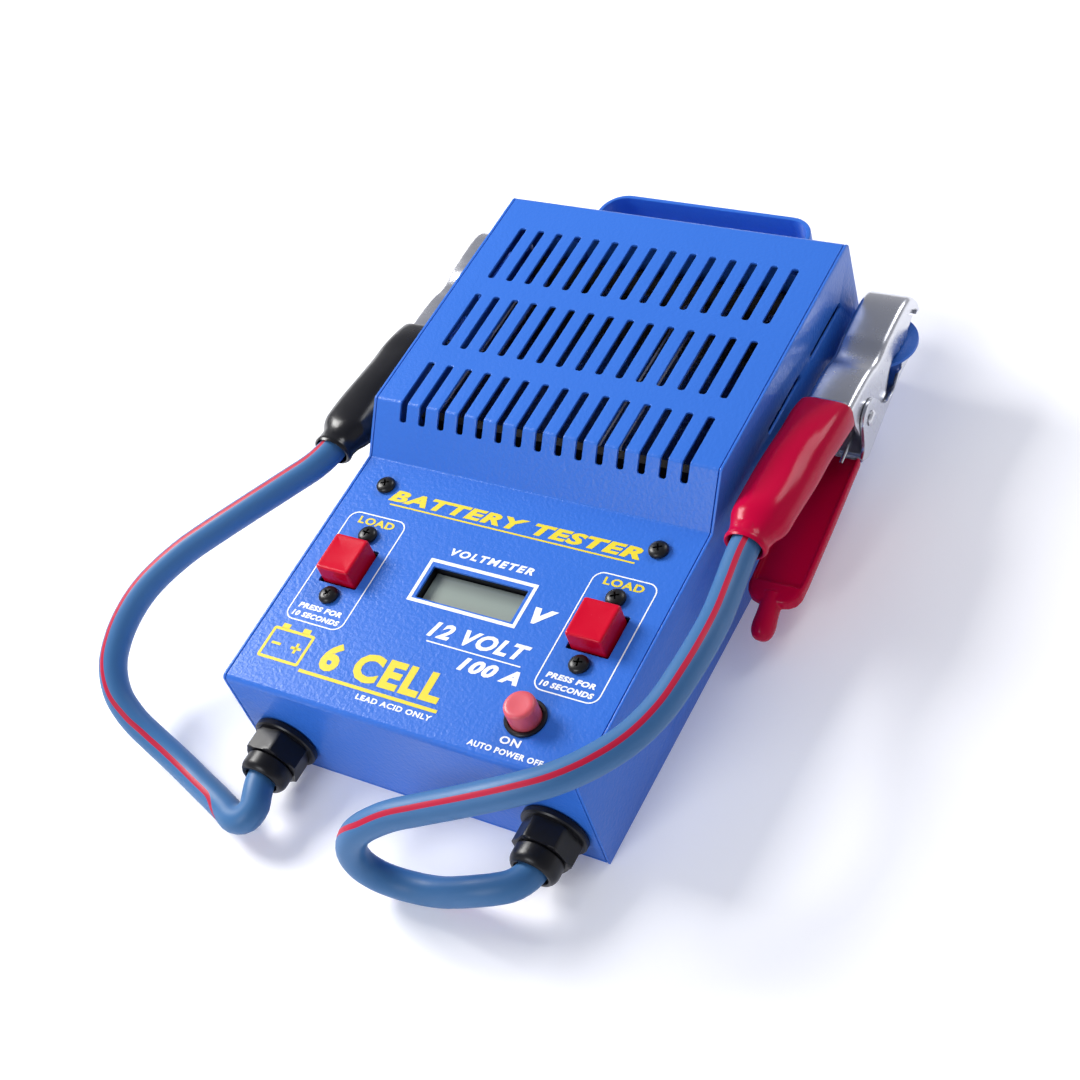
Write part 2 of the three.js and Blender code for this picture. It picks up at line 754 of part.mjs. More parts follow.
// Frame at the front of the lower sleeve whose Z axis runs forward and down.
function nibFrame(side) {
  const slope = 0.42;
  const tilt = new THREE.Matrix4().makeRotationX(slope);
  return alongFront.clone().multiply(tilt).setPosition(side * clampX, 120.5, 15.4);
}

// ---------- leads ----------
const leadRoutes = {
  left: [
    [-62, 8, 17], [-62, -2, 17], [-62, -12, 17], [-62, -21, 16.9],
    [-60.2, -26.8, 16.2], [-59, -31.6, 14.8], [-61, -36, 13], [-66.4, -37, 11.2],
    [-73.4, -34, 9.6], [-82, -30.6, 8.4], [-92.9, -26.6, 7.4], [-103, -22.9, 7.4],
    [-113.3, -19.5, 8.8], [-123.9, -16.4, 11.6], [-134.4, -13.1, 16.2], [-143.7, -7.8, 22.3],
    [-149.7, 1, 29], [-151.4, 12.1, 34.9], [-150, 23.6, 40.1], [-146.2, 34.8, 44.3],
    [-137.3, 50.5, 48.8], [-126.6, 65, 51.8], [-116, 79, 54.2], [-105.6, 93.3, 56.2],
    [-98.8, 103.4, 57.4], [-95.8, 112, 58.1], [-95.4, 118, 58.2], [-95.4, 124, 58.2],
  ],
  right: [
    [62, 8, 17], [62, -2, 17], [62, -12, 17], [61.9, -21, 17.1],
    [58.4, -27.4, 17.5], [52.2, -31.4, 17.3], [45.3, -33.7, 15.8], [38.5, -34.9, 13],
    [31.7, -35.6, 9.9], [24.6, -36, 7.4], [17.1, -36.6, 6.4], [9.6, -37.7, 7.6],
    [3.1, -38.9, 11.4], [-1.2, -39.7, 17.9], [-2.4, -39.4, 25.7], [-0.3, -37.9, 33],
    [4.1, -35.8, 39], [16.1, -30.8, 46.4], [29, -26.2, 50.8], [47.6, -20.1, 57.2],
    [65.6, -12.9, 62.6], [77.3, -5.8, 64.5], [87.5, 4.3, 65.4], [95.6, 16.7, 65.8],
    [100.6, 31.1, 66.2], [102.4, 46.5, 66.2], [102.4, 61.9, 64.6], [100.6, 76.8, 61.2],
    [98, 91.5, 58.8], [95.8, 106.8, 58.1], [95.4, 117, 58.2], [95.4, 124, 58.2],
  ],
};

function lead(label) {
  const points = leadRoutes[label].map((point) => new THREE.Vector3(...point));
  const path = new THREE.CatmullRomCurve3(points, false, "centripetal");
  const section = polygon(cableRadius, cableSides);
  const tube = new THREE.ExtrudeGeometry(section, { steps: cableSteps, extrudePath: path });
  addPiece("cable_" + label, solid(tube), "cableBlue");
}

// ---------- the whole tester ----------
coverShell();
baseTray();
rearHandle();
voltmeter();
powerButton();
loadBoards();
for (const [label, side] of sides) {
  clampTab(label, side);
  coverPost(label, side);
  loadSwitch(label, side);
  cableGland(label, side);
  cableLug(label, side);
  loadStrip(label, side);
  upperJaw(label, side);
  lowerJaw(label, side);
  pivotRivet(label, side);
  torsionSpring(label, side);
  upperSleeve(label, side);
  lowerSleeve(label, side);
  lead(label);
}

export default part;
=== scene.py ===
import math
import bmesh
import bpy
import numpy as np
from mathutils import Euler, Matrix, Vector


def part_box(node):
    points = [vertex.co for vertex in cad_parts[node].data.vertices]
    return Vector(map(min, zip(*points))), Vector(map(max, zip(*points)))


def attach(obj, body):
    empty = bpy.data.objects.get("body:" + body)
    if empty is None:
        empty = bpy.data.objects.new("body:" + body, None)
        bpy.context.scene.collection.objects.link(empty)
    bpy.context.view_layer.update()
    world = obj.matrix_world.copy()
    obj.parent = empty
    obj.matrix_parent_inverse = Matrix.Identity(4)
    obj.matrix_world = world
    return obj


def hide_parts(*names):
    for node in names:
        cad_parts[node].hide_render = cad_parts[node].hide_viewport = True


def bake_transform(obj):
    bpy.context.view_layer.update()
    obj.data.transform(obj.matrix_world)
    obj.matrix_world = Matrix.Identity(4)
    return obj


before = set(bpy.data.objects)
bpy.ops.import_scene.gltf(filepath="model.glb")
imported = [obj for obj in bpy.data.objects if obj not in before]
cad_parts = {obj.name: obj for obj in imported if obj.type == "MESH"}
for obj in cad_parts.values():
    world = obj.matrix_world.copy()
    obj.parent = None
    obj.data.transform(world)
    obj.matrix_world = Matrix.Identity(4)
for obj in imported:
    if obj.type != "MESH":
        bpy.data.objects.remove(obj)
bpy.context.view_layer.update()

caseLow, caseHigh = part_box("base_tray")
frontY = caseLow.y                      # the front face; every drawing length below is millimetres behind it
tilt = math.atan2(55.05 - 51.3, 116)    # slope of the control panel


def at(x, y, z):
    return Vector((x / 1000, frontY + y / 1000, z / 1000))


def matrixFrom(across, up, out, origin):
    rows = Matrix((across, up, out)).transposed().to_4x4()
    rows.translation = origin
    return rows


# local x, y, z -> across the panel, up the slope, out of it
panelFrame = matrixFrom(
    Vector((1, 0, 0)),
    Vector((0, math.cos(tilt), math.sin(tilt))),
    Vector((0, -math.sin(tilt), math.cos(tilt))),
    at(0, 0, 51.3),
)


def onPanel(x, v, n=0):
    return panelFrame @ Matrix.Translation(Vector((x, v, n)) / 1000)


def onFront(x, z):
    return matrixFrom(Vector((1, 0, 0)), Vector((0, 0, 1)), Vector((0, -1, 0)), at(x, 0, z))


def acrossClamp(x):
    return matrixFrom(Vector((0, 1, 0)), Vector((0, 0, 1)), Vector((1, 0, 0)), at(x, 0, 0))


def setAll(thing, settings):
    for key, value in settings.items():
        setattr(thing, key, value)
    return thing


def newObject(name, data):
    obj = bpy.data.objects.new(name, data)
    bpy.context.scene.collection.objects.link(obj)
    return obj


def show(piece, slot, body, *nodes):
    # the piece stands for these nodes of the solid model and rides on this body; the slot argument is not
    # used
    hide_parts(*nodes)
    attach(piece, body)


print("stage 1: camera")

camera = {
    "place": (356.64, -259.98, 573.04),
    "turn": (0.72530, 0.25242, 0.49178),
    "lens": 61.56,
    "sensor": 36,
}


def makeCamera(spec):
    data = bpy.data.cameras.new("camera")
    setAll(data, {"lens": spec["lens"], "sensor_width": spec["sensor"], "clip_start": 0.01})
    obj = newObject("camera", data)
    obj.location = at(*spec["place"])
    obj.rotation_euler = Euler(spec["turn"], "XYZ")
    bpy.context.scene.camera = obj


makeCamera(camera)

print("stage 2: finishes")


def feed(tree, node, feeds):
    # each feed is another node's socket or a constant for that input
    for key, value in feeds.items():
        if isinstance(value, bpy.types.NodeSocket):
            tree.links.new(value, node.inputs[key])
        else:
            node.inputs[key].default_value = value
    return node


def add(tree, kind, feeds, **settings):
    return feed(tree, setAll(tree.nodes.new(kind), settings), feeds)


def maths(tree, operation, a, b):
    return add(tree, "ShaderNodeMath", {0: a, 1: b}, operation=operation).outputs[0]


def ramp(tree, value, stops):
    node = add(tree, "ShaderNodeValToRGB", {0: value})
    elements = node.color_ramp.elements
    for element, (position, colour) in zip(elements, (stops[0], stops[-1])):
        setAll(element, {"position": position, "color": (*colour, 1)})
    for position, colour in stops[1:-1]:
        elements.new(position).color = (*colour, 1)
    return node.outputs[0]


def newGroup(name, kind, inputs, outputs):
    group = bpy.data.node_groups.new(name, kind)
    for way, sockets in (("INPUT", inputs), ("OUTPUT", outputs)):
        for label, socket, *value in sockets:
            made = group.interface.new_socket(label, in_out=way, socket_type="NodeSocket" + socket)
            if value:
                made.default_value = value[0]
    return group, group.nodes.new("NodeGroupInput").outputs, group.nodes.new("NodeGroupOutput")


def grainGroup():
    # skin texture of a coating: a height for the bump and a faint, broad tone change
    inputs = [("Pitch", "Float", 300.0), ("Tone", "Float", 0.06)]
    outputs = [("Height", "Float"), ("Shade", "Float")]
    group, into, out = newGroup("skinGrain", "ShaderNodeTree", inputs, outputs)
    where = add(group, "ShaderNodeTexCoord", {}).outputs["Object"]
    skinNoise = {"Vector": where, "Scale": into["Pitch"], "Detail": 2.0, "Roughness": 0.55}
    height = add(group, "ShaderNodeTexNoise", skinNoise).outputs["Fac"]
    broad = add(group, "ShaderNodeTexNoise", {"Vector": where, "Scale": 14.0, "Detail": 3.0}).outputs["Fac"]
    swing = maths(group, "MULTIPLY", maths(group, "SUBTRACT", broad, 0.5), into["Tone"])
    feed(group, out, {"Height": height, "Shade": maths(group, "ADD", swing, 1.0)})
    return group


def wearGroup():
    # fine scuffs and dust specks: patches where the surface is rougher
    inputs = [("Rough", "Float", 0.4), ("Spread", "Float", 0.12)]
    group, into, out = newGroup("fineWear", "ShaderNodeTree", inputs, [("Roughness", "Float")])
    where = add(group, "ShaderNodeTexCoord", {}).outputs["Object"]
    cloudNoise = {"Vector": where, "Scale": 60.0, "Detail": 6.0, "Roughness": 0.7}
    cloud = add(group, "ShaderNodeTexNoise", cloudNoise).outputs["Fac"]
    band = add(group, "ShaderNodeMapRange", {"Value": cloud, "From Min": 0.35, "From Max": 0.75}).outputs[0]
    worn = maths(group, "MULTIPLY", band, into["Spread"])
    feed(group, out, {"Roughness": maths(group, "ADD", worn, into["Rough"])})
    return group


skinGrain = grainGroup()
fineWear = wearGroup()


def surface(name, colour, rough, spread=0.1, metal=0.0, shine=0.5, coat=0.0, depth=0.0, pitch=300, tone=0.08,
            bump=0.1, height=0.0002, glow=0.0):
    # one builder for every finish; the colour is three numbers or a function that makes it from nodes
    material = bpy.data.materials.new(name)
    material.use_nodes = True
    tree = material.node_tree
    tree.nodes.clear()
    grain = add(tree, "ShaderNodeGroup", {"Pitch": pitch, "Tone": tone}, node_tree=skinGrain)
    wear = add(tree, "ShaderNodeGroup", {"Rough": rough, "Spread": spread}, node_tree=fineWear)
    base = colour(tree) if callable(colour) else (*colour, 1)
    shades = {"Factor": 1.0, "A": base, "B": grain.outputs["Shade"]}
    tint = add(tree, "ShaderNodeMix", shades, data_type="RGBA", blend_type="MULTIPLY")
    rise = {"Strength": bump, "Distance": height, "Height": grain.outputs["Height"]}
    relief = add(tree, "ShaderNodeBump", rise)
    body = add(tree, "ShaderNodeBsdfPrincipled", {
        "Base Color": tint.outputs["Result"], "Roughness": wear.outputs["Roughness"],
        "Normal": relief.outputs[0], "Metallic": metal, "Specular IOR Level": shine,
        "Coat Weight": coat, "Coat Roughness": 0.05, "Subsurface Weight": depth, "Subsurface Scale": 0.002,
        "Emission Color": (0.80, 0.81, 1.0, 1), "Emission Strength": glow,
    })
    add(tree, "ShaderNodeOutputMaterial", {"Surface": body.outputs[0]})
    return material


def stripedJacket(tree):
    # blue, with one red stripe where the wrap chart is near a half
    half, soft = 0.030, 0.004
    wrap = add(tree, "ShaderNodeUVMap", {}, uv_map="wrap")
    around = add(tree, "ShaderNodeSeparateXYZ", {0: wrap.outputs[0]}).outputs["X"]
    away = maths(tree, "ABSOLUTE", maths(tree, "SUBTRACT", around, 0.5), 0)
    edge = add(tree, "ShaderNodeMapRange", {
        "Value": away, "From Min": half - soft, "From Max": half + soft, "To Min": 1.0, "To Max": 0.0,
    }, interpolation_type="SMOOTHSTEP")
    tones = {"Factor": edge.outputs[0], "A": (0.045, 0.150, 0.340, 1), "B": (0.46, 0.006, 0.040, 1)}
    return add(tree, "ShaderNodeMix", tones, data_type="RGBA").outputs["Result"]


def crystalShade(tree):
    # grey-green liquid crystal, darker towards its upper edge
    pane = add(tree, "ShaderNodeUVMap", {}, uv_map="pane")
    height = add(tree, "ShaderNodeSeparateXYZ", {0: pane.outputs[0]}).outputs["Y"]
    low, middle, high = (0.33, 0.38, 0.34), (0.25, 0.30, 0.27), (0.15, 0.18, 0.17)
    return ramp(tree, height, [(0.0, low), (0.55, middle), (0.9, high)])


paint = surface("bluePaint", (0.034, 0.155, 0.62), 0.30, spread=0.05, shine=0.28, pitch=620, tone=0.05,
                bump=0.65, height=0.00028)
plastic = surface("blackPlastic", (0.006, 0.006, 0.008), 0.30, shine=0.3, pitch=900, tone=0.3)
redCap = surface("redPlastic", (0.58, 0.001, 0.022), 0.20, shine=0.25, pitch=500, bump=0.05)
pinkCap = surface("pinkPlastic", (0.66, 0.09, 0.12), 0.34, depth=0.15, pitch=500, bump=0.05)
redVinyl = surface("redDip", (0.50, 0.001, 0.038), 0.15, shine=0.15, pitch=120, bump=0.12, height=0.0006)
blackVinyl = surface("blackDip", (0.008, 0.008, 0.010), 0.20, shine=0.4, pitch=120, bump=0.15, height=0.0006)
steel = surface("platedSteel", (0.72, 0.73, 0.77), 0.22, metal=1.0, pitch=90, tone=0.15, height=0.0003)
darkScrew = surface("blackScrew", (0.012, 0.012, 0.013), 0.28, metal=0.3, pitch=900)
copper = surface("bareCopper", (0.70, 0.33, 0.18), 0.3, metal=1.0, pitch=400)
board = surface("greenBoard", (0.02, 0.13, 0.05), 0.5, pitch=800)
# near-black board colour is painted shade of the deep slot interiors, not the boards' own pale colour
darkBoard = surface("darkBoard", (0.045, 0.040, 0.036), 0.8, pitch=900, bump=0.3)
yellow = surface("yellowInk", (0.78, 0.62, 0.012), 0.45, pitch=620, tone=0.06, bump=0.3)
white = surface("whiteInk", (0.90, 0.92, 0.95), 0.45, pitch=620, tone=0.04, bump=0.3)
jacket = surface("leadJacket", stripedJacket, 0.40, spread=0.12, shine=0.3, pitch=500, tone=0.14, bump=0.08)
display = surface("displayGlass", crystalShade, 0.30, spread=0.05, coat=0.6, tone=0, bump=0)
paper = surface("paleFloor", (0.93, 0.93, 0.93), 0.6, spread=0, shine=0.2, tone=0.02, bump=0, glow=0.18)

print("stage 3: mesh helpers")


def cleanMesh(mesh, smooth, merge=None):
    # doubles merged and faces turned out where asked; sharp only over the given angle
    work = bmesh.new()
    work.from_mesh(mesh)
    if merge is not None:
        bmesh.ops.remove_doubles(work, verts=work.verts, dist=merge)
        bmesh.ops.recalc_face_normals(work, faces=work.faces)
    limit = math.radians(smooth)
    for face in work.faces:
        face.smooth = True
    for edge in work.edges:
        edge.smooth = len(edge.link_faces) != 2 or edge.calc_face_angle(0) < limit
    work.to_mesh(mesh)
    work.free()


def finishMesh(name, verts, faces, material, smooth=35, uvs=None, uvName=None, local=None):
    # metres in, one clean object out
    mesh = bpy.data.meshes.new(name)
    mesh.from_pydata([tuple(v) for v in verts], [], faces)
    if uvs is not None:
        layer = mesh.uv_layers.new(name=uvName)
        for spot, uv in zip(layer.data, [uv for corners in uvs for uv in corners]):
            spot.uv = uv
    cleanMesh(mesh, smooth, 1e-6)
    if local is not None:
        mesh.transform(local)
    mesh.materials.append(material)
    return newObject(name, mesh)


def settle(obj, smooth=None):
    # a curve or a stack of modifiers becomes plain mesh
    bpy.context.view_layer.update()
    graph = bpy.context.evaluated_depsgraph_get()
    made = bpy.data.meshes.new_from_object(obj.evaluated_get(graph))
    materials = list(obj.data.materials)
    result = obj
    if obj.type == "MESH":
        obj.modifiers.clear()
        obj.data = made
    else:
        result = newObject(obj.name + "Mesh", made)
        bpy.data.objects.remove(obj)
    if not made.materials:
        for material in materials:
            made.materials.append(material)
    if smooth is not None:
        cleanMesh(made, smooth)
    return result


def joinAll(name, objects):
    # several meshes in one object, materials kept by slot
    work = bmesh.new()
    materials = []
    for obj in objects:
        part = obj.data.copy()
        slots = []
        for material in part.materials:
            if material not in materials:
                materials.append(material)
            slots.append(materials.index(material))
        part.transform(obj.matrix_world)
        before = len(work.faces)
        work.from_mesh(part)
        work.faces.ensure_lookup_table()
        for face in work.faces[before:]:
            face.material_index = slots[face.material_index]
        bpy.data.meshes.remove(part)
        bpy.data.objects.remove(obj)
    mesh = bpy.data.meshes.new(name)
    work.to_mesh(mesh)
    work.free()
    for material in materials:
        mesh.materials.append(material)
    return newObject(name, mesh)


def skin(rings, closed=True, caps=True):
    # quads between rings of equal length
    count = len(rings[0])
    verts = [Vector(p) for ring in rings for p in ring]
    faces = []
    for r in range(len(rings) - 1):
        for i in range(count if closed else count - 1):
            j = (i + 1) % count
            faces.append((r * count + i, r * count + j, (r + 1) * count + j, (r + 1) * count + i))
    if caps:
        faces.append(tuple(reversed(range(count))))
        faces.append(tuple((len(rings) - 1) * count + i for i in range(count)))
    return verts, faces


def turned(name, profile, material, place, sides=48, smooth=35):
    # profile is [radius, height] in millimetres about the local z axis, starting and ending on it or closing
    angles = [2 * math.pi * i / sides for i in range(sides)]
    rings = [[Vector((r * math.cos(a), r * math.sin(a), h)) / 1000 for a in angles] for r, h in profile]
    verts, faces = skin(rings, caps=False)
    return finishMesh(name, verts, faces, material, smooth, local=place)


def smoothLine(points, count):
    # evenly spaced points on one smooth curve through the given ones
    pts = [Vector(p) for p in points]
    dense = []
    for i in range(len(pts) - 1):
        a = pts[max(i - 1, 0)]
        b, c = pts[i], pts[i + 1]
        d = pts[min(i + 2, len(pts) - 1)]
        for k in range(12):
            t = k / 12
            dense.append(catmull(a, b, c, d, t))
    dense.append(pts[-1])
    lengths = [0]
    for a, b in zip(dense, dense[1:]):
        lengths.append(lengths[-1] + (b - a).length)
    line = []
    j = 0
    for i in range(count):
        want = lengths[-1] * i / (count - 1)
        while j < len(dense) - 2 and lengths[j + 1] < want:
            j += 1
        step = max(lengths[j + 1] - lengths[j], 1e-9)
        line.append(dense[j].lerp(dense[j + 1], min(1, (want - lengths[j]) / step)))
    return line, lengths[-1]


def tangent(line, i):
    return (line[min(i + 1, len(line) - 1)] - line[max(i - 1, 0)]).normalized()


def catmull(a, b, c, d, t):
    # centripetal, the same curve as the solid model's
    t0 = 0
    t1 = t0 + max((b - a).length, 1e-9) ** 0.5
    t2 = t1 + max((c - b).length, 1e-9) ** 0.5
    t3 = t2 + max((d - c).length, 1e-9) ** 0.5
    if (b - a).length < 1e-9:
        a = b - (c - b)
        t1 = max((c - b).length, 1e-9) ** 0.5
        t2 = t1 * 2
        t3 = t2 + max((d - c).length, 1e-9) ** 0.5
    if (d - c).length < 1e-9:
        d = c + (c - b)
        t3 = t2 + max((c - b).length, 1e-9) ** 0.5
    u = t1 + (t2 - t1) * t
    a1 = a * ((t1 - u) / (t1 - t0)) + b * ((u - t0) / (t1 - t0))
    a2 = b * ((t2 - u) / (t2 - t1)) + c * ((u - t1) / (t2 - t1))
    a3 = c * ((t3 - u) / (t3 - t2)) + d * ((u - t2) / (t3 - t2))
    b1 = a1 * ((t2 - u) / (t2 - t0)) + a2 * ((u - t0) / (t2 - t0))
    b2 = a2 * ((t3 - u) / (t3 - t1)) + a3 * ((u - t1) / (t3 - t1))
    return b1 * ((t2 - u) / (t2 - t1)) + b2 * ((u - t1) / (t2 - t1))


def roundedCorners(points, radii, steps=8):
    # open 2D line with arcs at its inner corners
    path = [Vector(points[0])]
    for i in range(1, len(points) - 1):
        corner = Vector(points[i])
        back = (Vector(points[i - 1]) - corner).normalized()
        on = (Vector(points[i + 1]) - corner).normalized()
        radius = radii[i - 1]
        half = back.angle(on) / 2
        trim = radius / math.tan(half)
        centre = corner + (back + on).normalized() * (radius / math.sin(half))
        start = corner + back * trim - centre
        end = corner + on * trim - centre
        first = math.atan2(start.y, start.x)
        sweep = math.atan2(end.y, end.x) - first
        sweep = (sweep + math.pi) % (2 * math.pi) - math.pi
        for k in range(steps + 1):
            a = first + sweep * k / steps
            path.append(centre + Vector((math.cos(a), math.sin(a))) * radius)
    path.append(Vector(points[-1]))
    return path


def shifted(points, x, y):
    return [(x + p.x, y + p.y) for p in points]


def roundRect(width, height, radius, steps=6):
    a, b = width / 2, height / 2
    points = []
    corners = ((1, 1), (-1, 1), (-1, -1), (1, -1))
    for start, (across, up) in enumerate(corners):
        cx, cy = across * (a - radius), up * (b - radius)
        for k in range(steps + 1):
            angle = (start + k / steps) * math.pi / 2
            points.append(Vector((cx + radius * math.cos(angle), cy + radius * math.sin(angle))))
    return points


def outlineMesh(name, loops, material, **settings):
    # closed loops in millimetres, filled
    data = setAll(bpy.data.curves.new(name, "CURVE"), {"dimensions": "2D", **settings})
    for loop in loops:
        spline = data.splines.new("POLY")
        spline.points.add(len(loop) - 1)
        for point, spot in zip(spline.points, loop):
            point.co = (spot[0] / 1000, spot[1] / 1000, 0, 1)
        spline.use_cyclic_u = True
    made = settle(newObject(name, data))
    made.data.materials.clear()
    made.data.materials.append(material)
    return made


def flatPlate(name, loops, thickness, edge, material, place, smooth=25):
    # outline with holes and rounded edges, lying in the local xy plane about z = 0, millimetres
    made = outlineMesh(name, loops, material, fill_mode="BOTH", extrude=max(thickness / 2 - edge, 0) / 1000,
                       bevel_depth=edge / 1000, bevel_resolution=1, offset=-edge / 1000)
    cleanMesh(made.data, smooth, 1e-6)
    made.data.transform(place)
    return made


def modify(obj, name, kind, **settings):
    return setAll(obj.modifiers.new(name, kind), settings)


def carve(obj, cutters, smooth=None):
    for cutter in cutters:
        modify(obj, "carve", "BOOLEAN", operation="DIFFERENCE", solver="EXACT", object=cutter)
    settle(obj, smooth)
    for cutter in cutters:
        bpy.data.objects.remove(cutter)


def growField(obj, group, values):
    # runs a node group on the object with its named inputs
    field = modify(obj, group.name, "NODES", node_group=group)
    for item in group.interface.items_tree:
        if item.name in values:
            field[item.identifier] = values[item.name]
    settle(obj)


def dress(node, material):
    # a solid-model piece that shows as it is
    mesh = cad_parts[node].data
    if not mesh.materials:
        mesh.materials.append(material)
    for i in range(len(mesh.materials)):
        mesh.materials[i] = material


sides = (("left", -1), ("right", 1))
# middles of the fittings: across and up the panel, for the glands across and above the table
fittings = {
    "load": (57, 62.2),
    "power": (48.3, 20),
    "meter": (0, 64.45),
    "gland": (62, 17),
    "screws": ((57, 77.9), (57, 46.7), (63.1, 103.2)),
}

print("stage 4: leads")

leads = {
    "radius": 5.9,
    "rings": 150,
    "around": 28,
    "left": [
        (-62, 8, 17), (-62, -2, 17), (-62, -12, 17), (-62, -21, 16.9),
        (-60.2, -26.8, 16.2), (-59, -31.6, 14.8), (-61, -36, 13), (-66.4, -37, 11.2),
        (-73.4, -34, 9.6), (-82, -30.6, 8.4), (-92.9, -26.6, 7.4), (-103, -22.9, 7.4),
        (-113.3, -19.5, 8.8), (-123.9, -16.4, 11.6), (-134.4, -13.1, 16.2), (-143.7, -7.8, 22.3),
        (-149.7, 1, 29), (-151.4, 12.1, 34.9), (-150, 23.6, 40.1), (-146.2, 34.8, 44.3),
        (-137.3, 50.5, 48.8), (-126.6, 65, 51.8), (-116, 79, 54.2), (-105.6, 93.3, 56.2),
        (-98.8, 103.4, 57.4), (-95.8, 112, 58.1), (-95.4, 118, 58.2), (-95.4, 124, 58.2),
    ],
    "right": [
        (62, 8, 17), (62, -2, 17), (62, -12, 17), (61.9, -21, 17.1),
        (58.4, -27.4, 17.5), (52.2, -31.4, 17.3), (45.3, -33.7, 15.8), (38.5, -34.9, 13),
        (31.7, -35.6, 9.9), (24.6, -36, 7.4), (17.1, -36.6, 6.4), (9.6, -37.7, 7.6),
        (3.1, -38.9, 11.4), (-1.2, -39.7, 17.9), (-2.4, -39.4, 25.7), (-0.3, -37.9, 33),
        (4.1, -35.8, 39), (16.1, -30.8, 46.4), (29, -26.2, 50.8), (47.6, -20.1, 57.2),
        (65.6, -12.9, 62.6), (77.3, -5.8, 64.5), (87.5, 4.3, 65.4), (95.6, 16.7, 65.8),
        (100.6, 31.1, 66.2), (102.4, 46.5, 66.2), (102.4, 61.9, 64.6), (100.6, 76.8, 61.2),
        (98, 91.5, 58.8), (95.8, 106.8, 58.1), (95.4, 117, 58.2), (95.4, 124, 58.2),
    ],
    "stripe": {"left": (-0.35, -0.25, 1.0), "right": (0.25, -0.35, 1.0)},
    "roll": {"left": (0.15, 0.235), "right": (0.28, 0.385)},
}


def makeLead(label, spec):
    points = [at(*p) for p in spec[label]]
    line, length = smoothLine(points, spec["rings"])
    toward = Vector(spec["stripe"][label]).normalized()
    rings = []
    for i, here in enumerate(line):
        along = tangent(line, i)
        face = toward - along * toward.dot(along)
        previous = rings[-1][1] if rings else None
        if face.length < 0.35 and previous is not None:
            face = previous - along * previous.dot(along)
        face.normalize()
        rings.append((here, face, along.cross(face)))
    # near its gland the stripe lies underneath, and it rolls up into view over the stated share of the length
    start, end = spec["roll"][label]
    for i, (here, face, other) in enumerate(rings):
        share = min(1, max(0, (i / (len(rings) - 1) - start) / (end - start)))
        a = math.radians(-155) * (1 - share * share * (3 - 2 * share))
        turn = face * math.cos(a) + other * math.sin(a)
        rings[i] = (here, turn, other * math.cos(a) - face * math.sin(a))
    around = spec["around"]
    verts, faces, uvs = [], [], []
    for here, face, other in rings:
        for k in range(around):
            a = 2 * math.pi * (k / around - 0.5)
            verts.append(here + (face * math.cos(a) + other * math.sin(a)) * spec["radius"] / 1000)
    for r in range(len(rings) - 1):
        for k in range(around):
            n = (k + 1) % around
            faces.append((r * around + k, r * around + n, (r + 1) * around + n, (r + 1) * around + k))
            u0, u1 = k / around, (k + 1) / around
            v0, v1 = r / len(rings), (r + 1) / len(rings)
            uvs.append([(u0, v0), (u1, v0), (u1, v1), (u0, v1)])
    for ring in (0, len(rings) - 1):
        faces.append(tuple(ring * around + k for k in range(around)))
        uvs.append([(0, 0)] * around)
    obj = finishMesh("lead_" + label, verts, faces, jacket, 40, uvs, "wrap")
    return obj, [tuple(p) for p in line], length


leadPieces = {label: makeLead(label, leads) for label, _ in sides}
for label, (obj, line, length) in leadPieces.items():
    show(obj, "cable_blue", "case", "cable_" + label)

print("stage 5: case")

cover = {
    "outline": [(0, 1.5), (0, 51.3), (116, 55.05), (132.4, 73.7), (258.9, 76), (258.9, 1.5)],
    "bends": [2.5, 1.4, 2.5, 2.5],
    "sheet": 1.2,
    "half": 78.5,
    "slots": 15,
    "pitch": 9.274,
    "slotWidth": 3.2,
    "edge": 0.3,
}
coverLine = roundedCorners(cover["outline"], cover["bends"])


def alongSheet(y, z):
    # arc length on the cover's outer face nearest to a point
    best, travelled = (1e9, 0), 0
    for a, b in zip(coverLine, coverLine[1:]):
        span = b - a
        t = min(1, max(0, (Vector((y, z)) - a).dot(span) / span.length_squared))
        gap = (a + span * t - Vector((y, z))).length
        if gap < best[0]:
            best = (gap, travelled + span.length * t)
        travelled += span.length
    return best[1]


def coverPoint(s):
    # the point on the cover's outer face at this length along it
    travelled = 0
    for a, b in zip(coverLine, coverLine[1:]):
        span = (b - a).length
        if s <= travelled + span or b is coverLine[-1]:
            return a + (b - a) * ((s - travelled) / span)
        travelled += span


def panelS(v):
    return alongSheet(v * math.cos(tilt), 51.3 + v * math.sin(tilt))


def rowSpan(index):
    rows = [((208.1, 75.1), (239.9, 75.65)), ((166.6, 74.3), (198.1, 74.9)), ((127.05, 67.6), (156.5, 74.1))]
    low, high = rows[index]
    return alongSheet(*low), alongSheet(*high)


